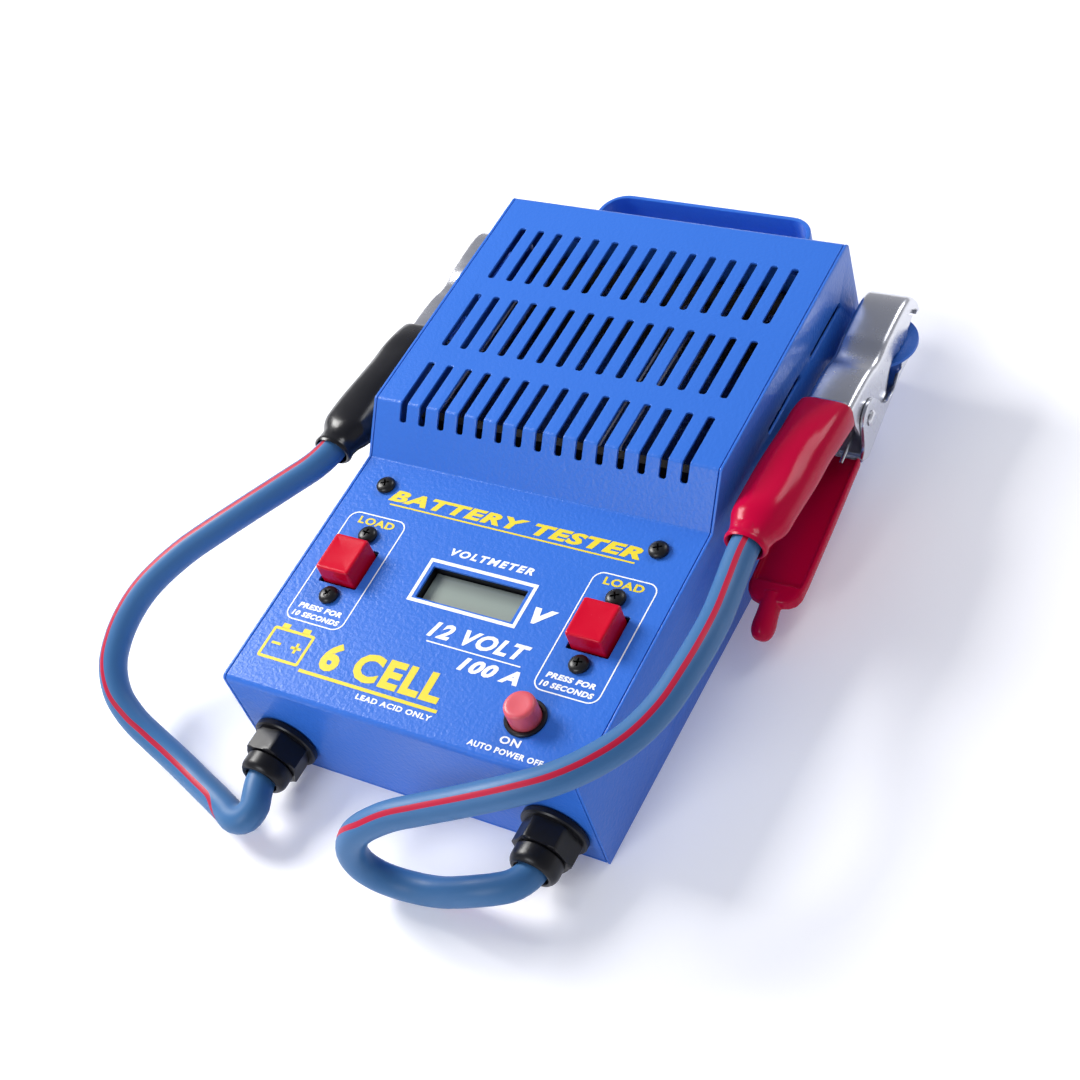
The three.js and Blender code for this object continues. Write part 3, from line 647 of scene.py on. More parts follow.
def slotFieldGroup():
    # rows of rounded slots cut from the outline that comes in
    rows = [("Row %d %s" % (row + 1, what), "Float") for row in range(3) for what in ("Middle", "Length")]
    group, into, out = newGroup("slotField", "GeometryNodeTree", [
        ("Geometry", "Geometry"), ("Slots", "Int"), ("Pitch", "Float"), ("Slot Width", "Float"),
        ("End Radius", "Float"), *rows, ("Material", "Material"),
    ], [("Geometry", "Geometry")])
    border = add(group, "GeometryNodeMeshToCurve", {"Mesh": into["Geometry"]})
    span = maths(group, "MULTIPLY", maths(group, "SUBTRACT", into["Slots"], 1), into["Pitch"])
    left = maths(group, "MULTIPLY", span, -0.5)
    step = add(group, "ShaderNodeCombineXYZ", {"X": into["Pitch"]}).outputs[0]
    loops = [border.outputs[0]]
    for row in range(3):
        middle, length = into["Row %d Middle" % (row + 1)], into["Row %d Length" % (row + 1)]
        start = add(group, "ShaderNodeCombineXYZ", {"X": left, "Y": middle}).outputs[0]
        spots = {"Count": into["Slots"], "Start Location": start, "Offset": step}
        line = add(group, "GeometryNodeMeshLine", spots).outputs[0]
        box = {"Width": into["Slot Width"], "Height": length}
        slot = add(group, "GeometryNodeCurvePrimitiveQuadrilateral", box).outputs[0]
        rounding = {"Curve": slot, "Radius": into["End Radius"], "Count": 3}
        ends = add(group, "GeometryNodeFilletCurve", rounding, mode="POLY").outputs[0]
        copies = add(group, "GeometryNodeInstanceOnPoints", {"Points": line, "Instance": ends})
        loops.append(copies.outputs[0])
    join = group.nodes.new("GeometryNodeJoinGeometry")
    for loop in loops:
        group.links.new(loop, join.inputs[0])
    real = add(group, "GeometryNodeRealizeInstances", {0: join.outputs[0]})
    fill = add(group, "GeometryNodeFillCurve", {"Curve": real.outputs[0]}, mode="TRIANGLES")
    coat = add(group, "GeometryNodeSetMaterial", {"Geometry": fill.outputs[0], "Material": into["Material"]})
    feed(group, out, {0: coat.outputs[0]})
    return group


def coverLoops():
    # outline and single holes in the flat: x across, s along the bent line
    total = alongSheet(258.9, 1.5)
    half = cover["half"]
    loops = [[(-half, 0), (half, 0), (half, total), (-half, total)]]

    def hole(x, s, points):
        loops.append(shifted(points, x, s))

    meterX, meterV = fittings["meter"]
    hole(meterX, panelS(meterV), roundRect(43.4, 15.3, 0.5, 3))
    powerX, powerV = fittings["power"]
    hole(powerX, panelS(powerV), roundRect(14.8, 14.8, 7.39, 8))
    loadX, loadV = fittings["load"]
    for _, side in sides:
        hole(side * loadX, panelS(loadV), roundRect(18, 19.4, 0.6, 3))
        for x, v in fittings["screws"]:
            hole(side * x, panelS(v), roundRect(3.8, 3.8, 1.89, 4))
        glandX, glandZ = fittings["gland"]
        hole(side * glandX, alongSheet(0, glandZ), roundRect(18.8, 18.8, 9.39, 8))
        hole(side * 50.5, alongSheet(258.9, 45.5), roundRect(2.6, 22.6, 0.3, 2))
    return loops


def bendSheet(mesh):
    # the flat sheet is cut across at every bend point and laid along the cover's line
    work = bmesh.new()
    work.from_mesh(mesh)
    inside = [e for e in work.edges if not e.is_boundary]
    bmesh.ops.beautify_fill(work, faces=work.faces[:], edges=inside)
    travelled = 0
    for a, b in zip(coverLine[:-1], coverLine[1:-1]):
        travelled += (b - a).length
        parts = work.verts[:] + work.edges[:] + work.faces[:]
        bend = (0, travelled / 1000, 0)
        bmesh.ops.bisect_plane(work, geom=parts, dist=1e-7, plane_co=bend, plane_no=(0, 1, 0))
    bmesh.ops.remove_doubles(work, verts=work.verts, dist=2e-6)
    for vert in work.verts:
        spot = coverPoint(vert.co.y * 1000)
        vert.co = at(vert.co.x * 1000, spot.x, spot.y)
    work.normal_update()
    bmesh.ops.recalc_face_normals(work, faces=work.faces)
    top = max(work.faces, key=lambda face: face.calc_center_median().z)
    if top.normal.z < 0:
        bmesh.ops.reverse_faces(work, faces=work.faces)
    work.to_mesh(mesh)
    work.free()


def makeCover():
    loops = coverLoops()
    mesh = bpy.data.meshes.new("coverFlat")
    verts, edges = [], []
    for loop in loops:
        first = len(verts)
        verts += [(x / 1000, s / 1000, 0) for x, s in loop]
        edges += [(first + i, first + (i + 1) % len(loop)) for i in range(len(loop))]
    mesh.from_pydata(verts, edges, [])
    obj = newObject("case_cover", mesh)
    values = {
        "Slots": cover["slots"], "Pitch": cover["pitch"] / 1000, "Slot Width": cover["slotWidth"] / 1000,
        "End Radius": 0.0011, "Material": paint,
    }
    for row in range(3):
        low, high = rowSpan(row)
        values["Row %d Middle" % (row + 1)] = (low + high) / 2000
        values["Row %d Length" % (row + 1)] = (high - low) / 1000
    growField(obj, slotFieldGroup(), values)
    bendSheet(obj.data)
    modify(obj, "sheet", "SOLIDIFY", thickness=cover["sheet"] / 1000, offset=-1, use_even_offset=True)
    modify(obj, "edge", "BEVEL", width=cover["edge"] / 1000, segments=2, limit_method="ANGLE",
           angle_limit=math.radians(60), use_clamp_overlap=False, loop_slide=False)
    settle(obj, 25)
    modify(obj, "flatFaces", "WEIGHTED_NORMAL", keep_sharp=True)
    return settle(obj)


show(makeCover(), "blue_powder", "case", "cover_shell")

tray = {"corner": 2.4, "sheet": 1.2, "edge": 0.28}


def makeTray(spec):
    # side walls with two slots and the ear's slit each, and the bottom
    outline = [(0, 0), *cover["outline"][1:-1], (258.9, 0)]
    corner = spec["corner"]
    edgeLine = [tuple(p) for p in roundedCorners(outline, [corner, 1.4, corner, corner], 6)]
    holes = []
    for near, far in ((211.5, 243), (169, 200.6)):
        holes.append(shifted(roundRect(far - near, 3.2, 1.1, 3), (near + far) / 2, 56))
    holes.append(shifted(roundRect(20.6, 2.4, 0.4, 2), 242, 37.5))
    pieces = []
    for _, side in sides:
        place = acrossClamp(side * (80 - spec["sheet"] / 2))
        pieces.append(flatPlate("trayWall", [edgeLine] + holes, spec["sheet"], spec["edge"], paint, place))
    bottom = shifted(roundRect(157.4, 258.7, 0.5, 2), 0, 129.45)
    place = Matrix.Translation(at(0, 0, spec["sheet"] / 2))
    pieces.append(flatPlate("trayFloor", [bottom], spec["sheet"], 0.2, paint, place))
    return joinAll("case_tray", pieces)


show(makeTray(tray), "blue_powder", "case", "base_tray")

handle = {"low": 34.5, "high": 56.5, "sheet": 2.0, "foot": 256.2, "reach": 289, "half": 50.5}


def makeHandle(spec):
    toe = spec["half"] + 12
    line = [(toe, spec["foot"]), (spec["half"], spec["foot"]), (spec["half"], spec["reach"]),
            (-spec["half"], spec["reach"]), (-spec["half"], spec["foot"]), (-toe, spec["foot"])]
    path = roundedCorners(line, [1.5, 11, 11, 1.5], 10)
    section = roundRect(spec["sheet"], spec["high"] - spec["low"], 0.45, 3)
    middle = (spec["low"] + spec["high"]) / 2
    rings = []
    for i, here in enumerate(path):
        before = path[max(i - 1, 0)]
        after = path[min(i + 1, len(path) - 1)]
        along = ((here - before).normalized() + (after - here).normalized()).normalized()
        side = Vector((-along.y, along.x))
        rings.append([at(here.x + side.x * p.x, here.y + side.y * p.x, middle + p.y) for p in section])
    verts, faces = skin(rings)
    return finishMesh("rear_strap", verts, faces, paint, 30)


show(makeHandle(handle), "blue_powder", "case", "rear_handle")

ear = {"z": 37.5, "thick": 1.8, "y": 244, "radius": 15.2, "x": 95.4, "root": 80.3}


def makeEar(label, side, spec):
    loop = [(spec["root"], spec["y"] - spec["radius"])]
    for k in range(25):
        a = -math.pi / 2 + math.pi * k / 24
        loop.append((spec["x"] + spec["radius"] * math.cos(a), spec["y"] + spec["radius"] * math.sin(a)))
    loop.append((spec["root"], spec["y"] + spec["radius"]))
    loop = [(side * x, y) for x, y in loop]
    tongue = [(side * x, y) for x, y in ((76.8, 232), (80.6, 232), (80.6, 252), (76.8, 252))]
    flange = [(232, 24.6), (252, 24.6), (252, 38.3), (232, 38.3)]
    pieces = [
        flatPlate("earPlate", [loop], spec["thick"], 0.35, paint, Matrix.Translation(at(0, 0, spec["z"]))),
        flatPlate("earTongue", [tongue], spec["thick"], 0.1, paint, Matrix.Translation(at(0, 0, spec["z"]))),
        flatPlate("earFlange", [flange], spec["thick"], 0.2, paint, acrossClamp(side * 77.6)),
    ]
    return joinAll("park_ear_" + label, pieces)


for label, side in sides:
    show(makeEar(label, side, ear), "blue_powder", "case", "clamp_tab_" + label)

print("stage 6: panel fittings")

loadCap = {"width": 15.6, "height": 17.6, "foot": -5.5, "top": 8.5, "corner": 1.1}


def makeLoadCap(label, side, spec):
    # straight walls, a small rounded rim and a slightly dished top
    top = spec["top"]
    levels = [(0, spec["foot"]), (0, top - 0.9), (0.08, top - 0.55), (0.3, top - 0.2), (0.65, top - 0.03),
              (1.1, top), (1.7, top - 0.05), (3.2, top - 0.14), (5.0, top - 0.20), (6.9, top - 0.22)]
    rings = []
    for inset, n in levels:
        radius = max(spec["corner"] - inset * 0.5, 0.25)
        loop = roundRect(spec["width"] - 2 * inset, spec["height"] - 2 * inset, radius, 4)
        rings.append([(p.x / 1000, p.y / 1000, n / 1000) for p in loop])
    verts, faces = skin(rings)
    across, up = fittings["load"]
    place = onPanel(side * across, up)
    return finishMesh("load_cap_" + label, verts, faces, redCap, 40, local=place)


for label, side in sides:
    show(makeLoadCap(label, side, loadCap), "red_cap", "load_button_" + label, "load_button_" + label)
    dress("load_switch_" + label, plastic)

power = {"radius": 6.25, "top": 9.7, "flange": 8.2}


def makePower(spec):
    r, top = spec["radius"], spec["top"]
    cap = [(0, -5), (r, -5), (r, top - 1.6), (r - 0.1, top - 1.0), (r - 0.4, top - 0.5),
           (r - 0.95, top - 0.15), (r - 1.7, top), (r - 2.8, top - 0.08), (0, top - 0.25)]
    place = onPanel(*fittings["power"])
    button = turned("power_cap", cap, pinkCap, place, 56)
    f = spec["flange"]
    bush = [(0, -8), (6.55, -8), (6.55, 1.0), (6.9, 1.4), (f - 0.4, 1.4), (f, 1.0), (f, 0.1), (7.0, 0.1),
            (7.0, -20), (0, -20)]
    collar = turned("power_bush", bush, plastic, place, 56)
    return button, collar


powerCap, powerBush = makePower(power)
show(powerCap, "pink_cap", "power_button", "power_button")
show(powerBush, "black_nylon", "case", "power_switch")
dress("power_switch_nut", steel)

screw = {"head": 4.1, "rise": 2.7, "cross": 2.15, "slot": 0.95, "deep": 1.3}


def screwSeed(spec):
    # one pan-head screw with a cross recess, about the origin, z out of the panel
    head, rise = spec["head"], spec["rise"]
    profile = [(0, -7), (1.5, -7), (1.5, 0.3), (head - 0.15, 0.3), (head, 0.5), (head, 1.1),
               (head - 0.25, 1.7), (head - 0.9, 2.25), (head - 1.9, 2.6), (1.2, rise), (0, rise + 0.02)]
    body = turned("screwBody", profile, darkScrew, Matrix.Identity(4), 40)
    arms = []
    for turn in (0, math.pi / 2):
        w, foot, brim = spec["slot"] / 2, rise - spec["deep"], rise + 0.5
        rings = []
        for x in (-spec["cross"], spec["cross"]):
            inner = x * 0.55
            rings.append([(inner, -w / 2, foot), (inner, w / 2, foot), (x, w, brim), (x, -w, brim)])
        verts, faces = skin([[Vector(p) / 1000 for p in ring] for ring in rings])
        arm = finishMesh("recessArm", verts, faces, darkScrew, 30)
        arm.data.transform(Matrix.Rotation(turn + math.radians(20), 4, "Z"))
        arms.append(arm)
    carve(body, arms, 35)
    return body


def screwFieldGroup():
    # a screw on every point, turned by that point's own angle
    group, into, out = newGroup("screwField", "GeometryNodeTree", [
        ("Geometry", "Geometry"), ("Screw", "Object"), ("Turn Seed", "Int"), ("Material", "Material"),
    ], [("Geometry", "Geometry")])
    seed = add(group, "GeometryNodeObjectInfo", {"Object": into["Screw"]}, transform_space="ORIGINAL")
    highTurn = 3    # the random value's upper end, in radians
    spin = add(group, "FunctionNodeRandomValue", {"Seed": into["Turn Seed"], highTurn: 1.5})
    around = add(group, "ShaderNodeCombineXYZ", {"Z": spin.outputs[1]})
    copies = add(group, "GeometryNodeInstanceOnPoints", {
        "Points": into["Geometry"], "Instance": seed.outputs["Geometry"], "Rotation": around.outputs[0],
    })
    real = add(group, "GeometryNodeRealizeInstances", {0: copies.outputs[0]})
    coat = add(group, "GeometryNodeSetMaterial", {"Geometry": real.outputs[0], "Material": into["Material"]})
    feed(group, out, {0: coat.outputs[0]})
    return group


def makeScrews():
    seed = screwSeed(screw)
    spots = [(side * x / 1000, v / 1000, 0) for _, side in sides for x, v in fittings["screws"]]
    mesh = bpy.data.meshes.new("panel_screws")
    mesh.from_pydata(spots, [], [])
    obj = newObject("panel_screws", mesh)
    growField(obj, screwFieldGroup(), {"Screw": seed, "Turn Seed": 7, "Material": darkScrew})
    cleanMesh(obj.data, 35)
    obj.data.transform(panelFrame)
    bpy.data.objects.remove(seed)
    return obj


screwNodes = ["panel_screw_left", "panel_screw_right"]
for label, _ in sides:
    screwNodes += ["switch_screw_%s_upper" % label, "switch_screw_%s_lower" % label]
show(makeScrews(), "black_screw", "case", *screwNodes)

meter = {"width": 43, "height": 15, "front": -4.2, "back": -6}


def makeMeterPane(spec):
    # glass pane with its own 0..1 chart for the crystal's shading
    rings = []
    for grow, n in ((0, spec["back"]), (0, spec["front"] - 0.25), (-0.25, spec["front"])):
        loop = roundRect(spec["width"] + 2 * grow, spec["height"] + 2 * grow, 0.4, 2)
        rings.append([Vector((p.x, p.y, n)) / 1000 for p in loop])
    verts, faces = skin(rings)
    width, height = spec["width"] / 1000, spec["height"] / 1000
    chart = [(spot.x / width + 0.5, spot.y / height + 0.5) for spot in verts]
    uvs = [[chart[i] for i in face] for face in faces]
    return finishMesh("meter_pane", verts, faces, display, 30, uvs, "pane", onPanel(*fittings["meter"]))


show(makeMeterPane(meter), "display", "case", "meter_display")
dress("meter_frame", plastic)
dress("meter_board", board)

print("stage 7: legends")

inkLift = 0.07    # printed marks stand this far off the paint


def lettering(text, size, x, v, material, shear=0.0, weight=0.0, width=None, spacing=1.12):
    # printed words: text outline turned into a thin mesh on the panel, left end at x, foot at v
    data = setAll(bpy.data.curves.new("words", "FONT"), {
        "body": text, "size": size / 1000, "shear": shear, "space_character": spacing,
        "offset": weight / 1000, "resolution_u": 3,
    })
    made = settle(newObject("words", data))
    made.data.materials.clear()
    made.data.materials.append(material)
    xs = [vert.co.x for vert in made.data.vertices]
    ys = [vert.co.y for vert in made.data.vertices]
    stretch = 1.0 if width is None else width / 1000 / (max(xs) - min(xs))
    grow = size / 1000 / (max(ys) - min(ys))
    for vert in made.data.vertices:
        vert.co = Vector(((vert.co.x - min(xs)) * stretch, (vert.co.y - min(ys)) * grow, 0))
    made.data.transform(onPanel(x, v, inkLift))
    return made


def printedShape(loops, material):
    # flat inked shape from closed loops in panel millimetres
    made = outlineMesh("mark", loops, material, fill_mode="FRONT")
    made.data.transform(onPanel(0, 0, inkLift))
    return made


def bar(x0, x1, v, thick):
    return [(x0, v), (x1, v), (x1, v + thick), (x0, v + thick)]


def frameMark(x0, x1, v0, v1, corner, line, material):
    cx, cv = (x0 + x1) / 2, (v0 + v1) / 2
    outer = roundRect(x1 - x0, v1 - v0, corner, 6)
    inner = roundRect(x1 - x0 - 2 * line, v1 - v0 - 2 * line, max(corner - line, 0.05), 6)
    return printedShape([shifted(outer, cx, cv), shifted(inner, cx, cv)], material)


def makeLegends():
    marks = [
        lettering("BATTERY TESTER", 5.9, -58.8, 96.9, yellow, 0.25, 0.30, width=116.4),
        printedShape([bar(-56.7, 56.3, 94.9, 0.75)], yellow),
        lettering("VOLTMETER", 3.5, -18.3, 78.7, white, 0.22, 0.16, width=38.1, spacing=1.3),
        frameMark(-24.7, 24.7, 54.5, 75.5, 0.2, 1.5, white),
        lettering("V", 7.4, 28.3, 58.6, white, 0.30, 0.42, width=10.2),
        lettering("12 VOLT", 7.2, -8, 41.6, white, 0.28, 0.30, width=44),
        printedShape([bar(-6.5, 35.5, 39.2, 0.55)], white),
        lettering("100 A", 6.2, 11.5, 31.2, white, 0.28, 0.30, width=26.5),
        lettering("ON", 3.2, 43.0, 7.8, white, 0.0, 0.10, width=8.5),
        lettering("AUTO POWER OFF", 2.5, 31.8, 3.4, white, 0.0, 0.10, width=31.5),
        lettering("6 CELL", 13.4, -44, 14.8, yellow, 0.0, 0.60, width=56),
        printedShape([bar(-50, 14, 11.4, 1.5)], yellow),
        lettering("LEAD ACID ONLY", 2.4, -20.6, 7.6, white, 0.0, 0.09, width=34),
    ]
    for _, side in sides:
        low, high = sorted((side * 43.3, side * 71))
        middle = side * fittings["load"][0]
        marks.append(frameMark(low, high, 32.5, 88.4, 4.5, 0.55, white))
        marks.append(lettering("LOAD", 3.6, middle - 8.6, 83.0, yellow, 0.0, 0.13, width=17.2))
        marks.append(lettering("PRESS FOR", 2.5, middle - 10.4, 38.6, white, 0.15, 0.13, width=20.8))
        marks.append(lettering("10 SECONDS", 2.5, middle - 11.2, 34.6, white, 0.15, 0.13, width=22.4))
    marks += batteryMark()
    return joinAll("panel_legends", marks)


def batteryMark():
    # a plain battery outline with its two posts and signs
    cx, cv = -61.5, 20.5
    posts = [shifted(roundRect(3.6, 2.4, 0.2, 2), cx + dx, cv + 8.3) for dx in (-5, 5)]
    return [
        frameMark(cx - 10, cx + 10, cv - 7.4, cv + 7.4, 1.2, 1.3, yellow),
        printedShape(posts, yellow),
        printedShape([bar(cx - 7, cx - 2.6, cv - 0.6, 1.2)], yellow),
        printedShape([bar(cx + 2.4, cx + 7.2, cv - 0.6, 1.2)], yellow),
        printedShape([bar(cx + 4.2, cx + 5.4, cv - 2.4, 4.8)], yellow),
    ]


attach(makeLegends(), "case")

print("stage 8: glands")

gland = {"flat": 10.9, "turn": {"left": 0.2, "right": -0.2}}


def glandPlace(side):
    across, up = fittings["gland"]
    return onFront(side * across, up)


def hexRing(flat, cone, turn, count=72):
    # hexagon whose corners are turned down to a cone radius
    ring = []
    for i in range(count):
        a = 2 * math.pi * i / count
        inFace = (a - turn + math.pi / 6) % (math.pi / 3) - math.pi / 6
        ring.append((min(flat / math.cos(inFace), cone), a))
    return ring


def makeGlandBody(label, side, spec):
    # washer rim, hexagon and throat in one turned skin, with the thread behind it
    turn = spec["turn"][label] + math.pi / 6
    rim = [(13.0, 0.35), (13.7, 0.8), (13.7, 2.7), (13.2, 3.3)]
    hexagon = [(12.0, 3.5), (12.35, 4.2), (12.6, 5.0), (12.6, 11.6), (12.2, 12.6), (11.2, 13.05)]
    throat = [(7.4, 13.1), (7.4, 17), (6.35, 17), (6.35, 0.35)]
    rings = []
    for levels, flat in ((rim, math.inf), (hexagon, spec["flat"]), (throat, math.inf)):
        for radius, h in levels:
            ring = hexRing(flat, radius, turn)
            rings.append([(r * math.cos(a) / 1000, r * math.sin(a) / 1000, h / 1000) for r, a in ring])
    rings.append(rings[0])
    verts, faces = skin(rings, caps=False)
    place = glandPlace(side)
    body = finishMesh("gland_body", verts, faces, plastic, 28, local=place)
    sleeve = [(6.4, -10), (8.9, -10), (8.9, 0.3), (6.4, 0.3), (6.4, -10)]
    thread = turned("gland_thread", sleeve, plastic, place, 40)
    return joinAll("gland_front_" + label, [body, thread])


def makeGlandNut(label, side):
    profile = [(7.8, 13.3), (9.6, 13.3), (9.9, 13.7), (9.9, 17.9), (9.7, 18.9), (9.2, 19.9), (8.5, 20.7),
               (7.9, 21), (7.2, 20.9), (6.85, 20.3), (6.8, 19.4), (7.8, 19.4), (7.8, 13.3)]
    return turned("gland_cap_" + label, profile, plastic, glandPlace(side), 64)


for label, side in sides:
    show(makeGlandBody(label, side, gland), "black_nylon", "case", "gland_body_" + label)
    show(makeGlandNut(label, side), "black_nylon", "case", "gland_nut_" + label)
    dress("gland_seal_" + label, plastic)
    dress("gland_locknut_" + label, plastic)
    dress("cable_lug_" + label, copper)
    dress("bus_bar_" + label, copper)
    dress("load_strip_" + label, steel)
    dress("cover_post_" + label, steel)
# the load boards carry the near-black painted shade seen through the slots
dress("load_board_front", darkBoard)
dress("load_board_rear", darkBoard)

print("stage 9: clamps")

clamp = {"x": 95.4, "pivot": (202.4, 37.1), "jaw": 10, "arm": 8.2, "ear": 11.6, "sheet": 1.3}


def channel(name, stations, half, corner, side, up=True):
    # bent U channel: stations of (y, z) on the back and (y, z) on the free edge of the walls
    quarters = (0, 0.25, 0.5, 0.75, 1)
    rings = []
    for (backY, backZ), (edgeY, edgeZ) in stations:
        drop = -corner if up else corner
        wall = [(-half, edgeY + (backY - edgeY) * u, edgeZ + (backZ + drop - edgeZ) * u) for u in quarters]
        for k in range(1, 6):
            a = math.pi / 2 * k / 6
            wall.append((-half + corner * (1 - math.cos(a)), backY, backZ + drop * (1 - math.sin(a))))
        back = [(-half + corner + 2 * (half - corner) * u, backY, backZ) for u in quarters]
        ring = wall + back + [(-x, y, z) for x, y, z in reversed(wall)]
        rings.append([at(side * clamp["x"] + x, y, z) for x, y, z in ring])
    verts, faces = skin(rings, closed=False, caps=False)
    obj = finishMesh(name, verts, faces, steel, 40)
    work = bmesh.new()
    work.from_mesh(obj.data)
    faces = sorted(work.faces, key=lambda f: f.calc_center_median().z, reverse=up)
    wanted = 1 if up else -1
    if faces[0].normal.z * wanted < 0:
        bmesh.ops.reverse_faces(work, faces=work.faces)
    work.to_mesh(obj.data)
    work.free()
    modify(obj, "sheet", "SOLIDIFY", thickness=clamp["sheet"] / 1000, offset=-1, use_even_offset=False)
    modify(obj, "edge", "BEVEL", width=0.00025, segments=2, limit_method="ANGLE",
           angle_limit=math.radians(55), use_clamp_overlap=True)
    return settle(obj, 40)


def upperStations():
    # the jaw from its rear edge to the curled nose
    back = [(191.6, 53.6), (200, 53.8), (208, 53.5), (213, 52.9), (217, 51.9), (221, 51.5), (225, 52.0),
            (229, 53.0), (234, 53.5), (240, 53.9), (246, 54.1), (250, 54.0), (253, 53.6), (255.8, 52.8),
            (258.2, 51.3), (260, 49.3), (261.2, 46.8), (261.5, 43.9)]
    teeth = [(236.3 + 2 * k, 39.3 if k % 2 else 41.0) for k in range(7)]
    edge = [(191.6, 43.2), (194.2, 34.6), (198, 30.2), (203.4, 29.1), (210, 29.6), (219.6, 30.4), (224, 35.4),
            (227.8, 39.4), (233.2, 41.8), *teeth, (252.5, 43.2), (257.2, 45.2), (259.4, 43.6)]
    count = 96
    tops, _ = smoothLine([Vector((y, z, 0)) for y, z in back], count)
    lengths = np.cumsum([0] + [math.dist(a, b) for a, b in zip(edge, edge[1:])])
    wanted = np.linspace(0, lengths[-1], count)
    lows = zip(*(np.interp(wanted, lengths, values) for values in zip(*edge)))
    return [((top.x, top.y), low) for top, low in zip(tops, lows)]


def makeUpperJaw(label, side):
    jaw = channel("upperChannel", upperStations(), clamp["jaw"], 2.6, side)
    arm = []
    for y, top, low in ((196, 53.2, 44.2), (192, 54.0, 44.4), (186, 56.0, 45.8), (175, 57.6, 47.2),
                        (160, 58.9, 49), (147, 59.8, 50.8), (128, 61.4, 53.3)):
        arm.append(((y, top), (y, low)))
    rear = channel("upperArm", list(reversed(arm)), clamp["arm"], 1.8, side)
    return joinAll("clamp_top_" + label, [jaw, rear])


def lowerStations():
    # the fixed back is the underside, the free edge carries the pivot ears and the teeth
    back = [(190, 23.6), (192.5, 22.1), (195, 20.9), (205, 23.1), (215, 25.5), (225, 27.8), (234, 29.9),
            (240, 30.0), (245, 30.1)]
    edge = [(190, 26.3), (192.2, 28), (193.4, 31), (194.4, 36), (195.4, 40.4), (197.6, 43.4), (202.4, 45.1),
            (207.2, 43.6), (209.6, 41), (211, 38.4), (214.4, 33.6), (218, 31), (222, 30.3), (226, 30.6),
            (230, 32.6), (232.6, 34), (235, 33.4), (237.4, 35.6), (239.4, 34.2), (241.6, 36.1), (243.4, 34.8),
            (245, 33.4)]
    count = 84
    tops, _ = smoothLine([Vector((y, z, 0)) for y, z in back], count)
    lows, _ = smoothLine([Vector((y, z, 0)) for y, z in edge], count)
    stations = []
    for low in lows:
        y = low.x
        z = next((a.y + (b.y - a.y) * (y - a.x) / max(b.x - a.x, 1e-6) for a, b in zip(tops, tops[1:])
                  if a.x <= y <= b.x), tops[-1].y)
        stations.append(((y, z), (y, low.y)))
    stations.sort(key=lambda s: s[0][0])
    return stations


def makeLowerJaw(label, side):
    jaw = channel("lowerChannel", lowerStations(), clamp["ear"], 1.6, side, up=False)
    loop = [(130.3, 15.6), (189, 24.7), (191.5, 23.9), (191.5, 25.2), (189, 26), (130.3, 16.9)]
    arm = flatPlate("lowerArm", [loop], 16.4, 0.2, steel, acrossClamp(side * clamp["x"]))
    return joinAll("clamp_bottom_" + label, [jaw, arm])


def makeRivet(label, side):
    head = [(0, 13.1), (1.0, 13.15), (2.0, 13.1), (2.9, 12.6), (3.3, 11.95), (2.5, 11.9)]
    profile = [(r, -h) for r, h in head] + head[::-1]
    y, z = clamp["pivot"]
    place = acrossClamp(side * clamp["x"]) @ Matrix.Translation(Vector((y, z, 0)) / 1000)
    return turned("clamp_pin_" + label, profile, steel, place, 32)


def makeSpring(label, side):
    # one wire: leg, coil round the rivet, leg
    y, z = clamp["pivot"]
    points = [(-4.8, 184, 50.6)]
    turns = 2.5
    for i in range(41):
        a = math.pi / 2 - turns * 2 * math.pi * i / 40
        points.append((-4.8 + 9.6 * i / 40, y + 5 * math.cos(a), z + 5 * math.sin(a)))
    points.append((4.8, 184, 28))
    spots = [at(side * clamp["x"] + x, py, pz) for x, py, pz in points]
    line, _ = smoothLine(spots, 150)
    rings = []
    turn = None
    for i, here in enumerate(line):
        along = tangent(line, i)
        turn = along.orthogonal() if turn is None else turn - along * turn.dot(along)
        turn.normalize()
        other = along.cross(turn)
        rings.append([here + (turn * math.cos(a) + other * math.sin(a)) * 0.0009
                      for a in (2 * math.pi * k / 12 for k in range(12))])
    verts, faces = skin(rings)
    return finishMesh("clamp_coil_" + label, verts, faces, steel, 60)


def squareOval(half, low, high, y, side, power, count=48):
    # a rounded cross section of a grip; a lower power is squarer
    ring = []
    for i in range(count):
        a = 2 * math.pi * (i + 0.5) / count
        c, s = math.cos(a), math.sin(a)
        x = math.copysign(abs(c) ** power, c) * half
        rise = math.copysign(abs(s) ** power, s) * (high - low) / 2
        ring.append(at(side * clamp["x"] + x, y, (low + high) / 2 + rise))
    return ring


def dentedOval(half, low, high, y, side, power):
    # the same ring with the slow dents and creases of a dipped skin, fading out at the steel end
    ring = squareOval(half, low, high, y, side, power)
    centre = at(side * clamp["x"], y, (low + high) / 2)
    fade = min(1, max(0, (188 - y) / 14)) * min(1, max(0, (y - 113) / 10))
    for i, spot in enumerate(ring):
        a = 2 * math.pi * (i + 0.5) / len(ring)
        dent = 0.30 * math.sin(0.17 * y + 2.1 * side + 2 * a) + 0.16 * math.sin(0.41 * y + 3 * a + side)
        dent -= 0.34 * math.exp(-((a - 0.9 - 0.012 * (y - 150)) / 0.22) ** 2)
        ring[i] = spot + (spot - centre).normalized() * dent * fade / 1000
    return ring


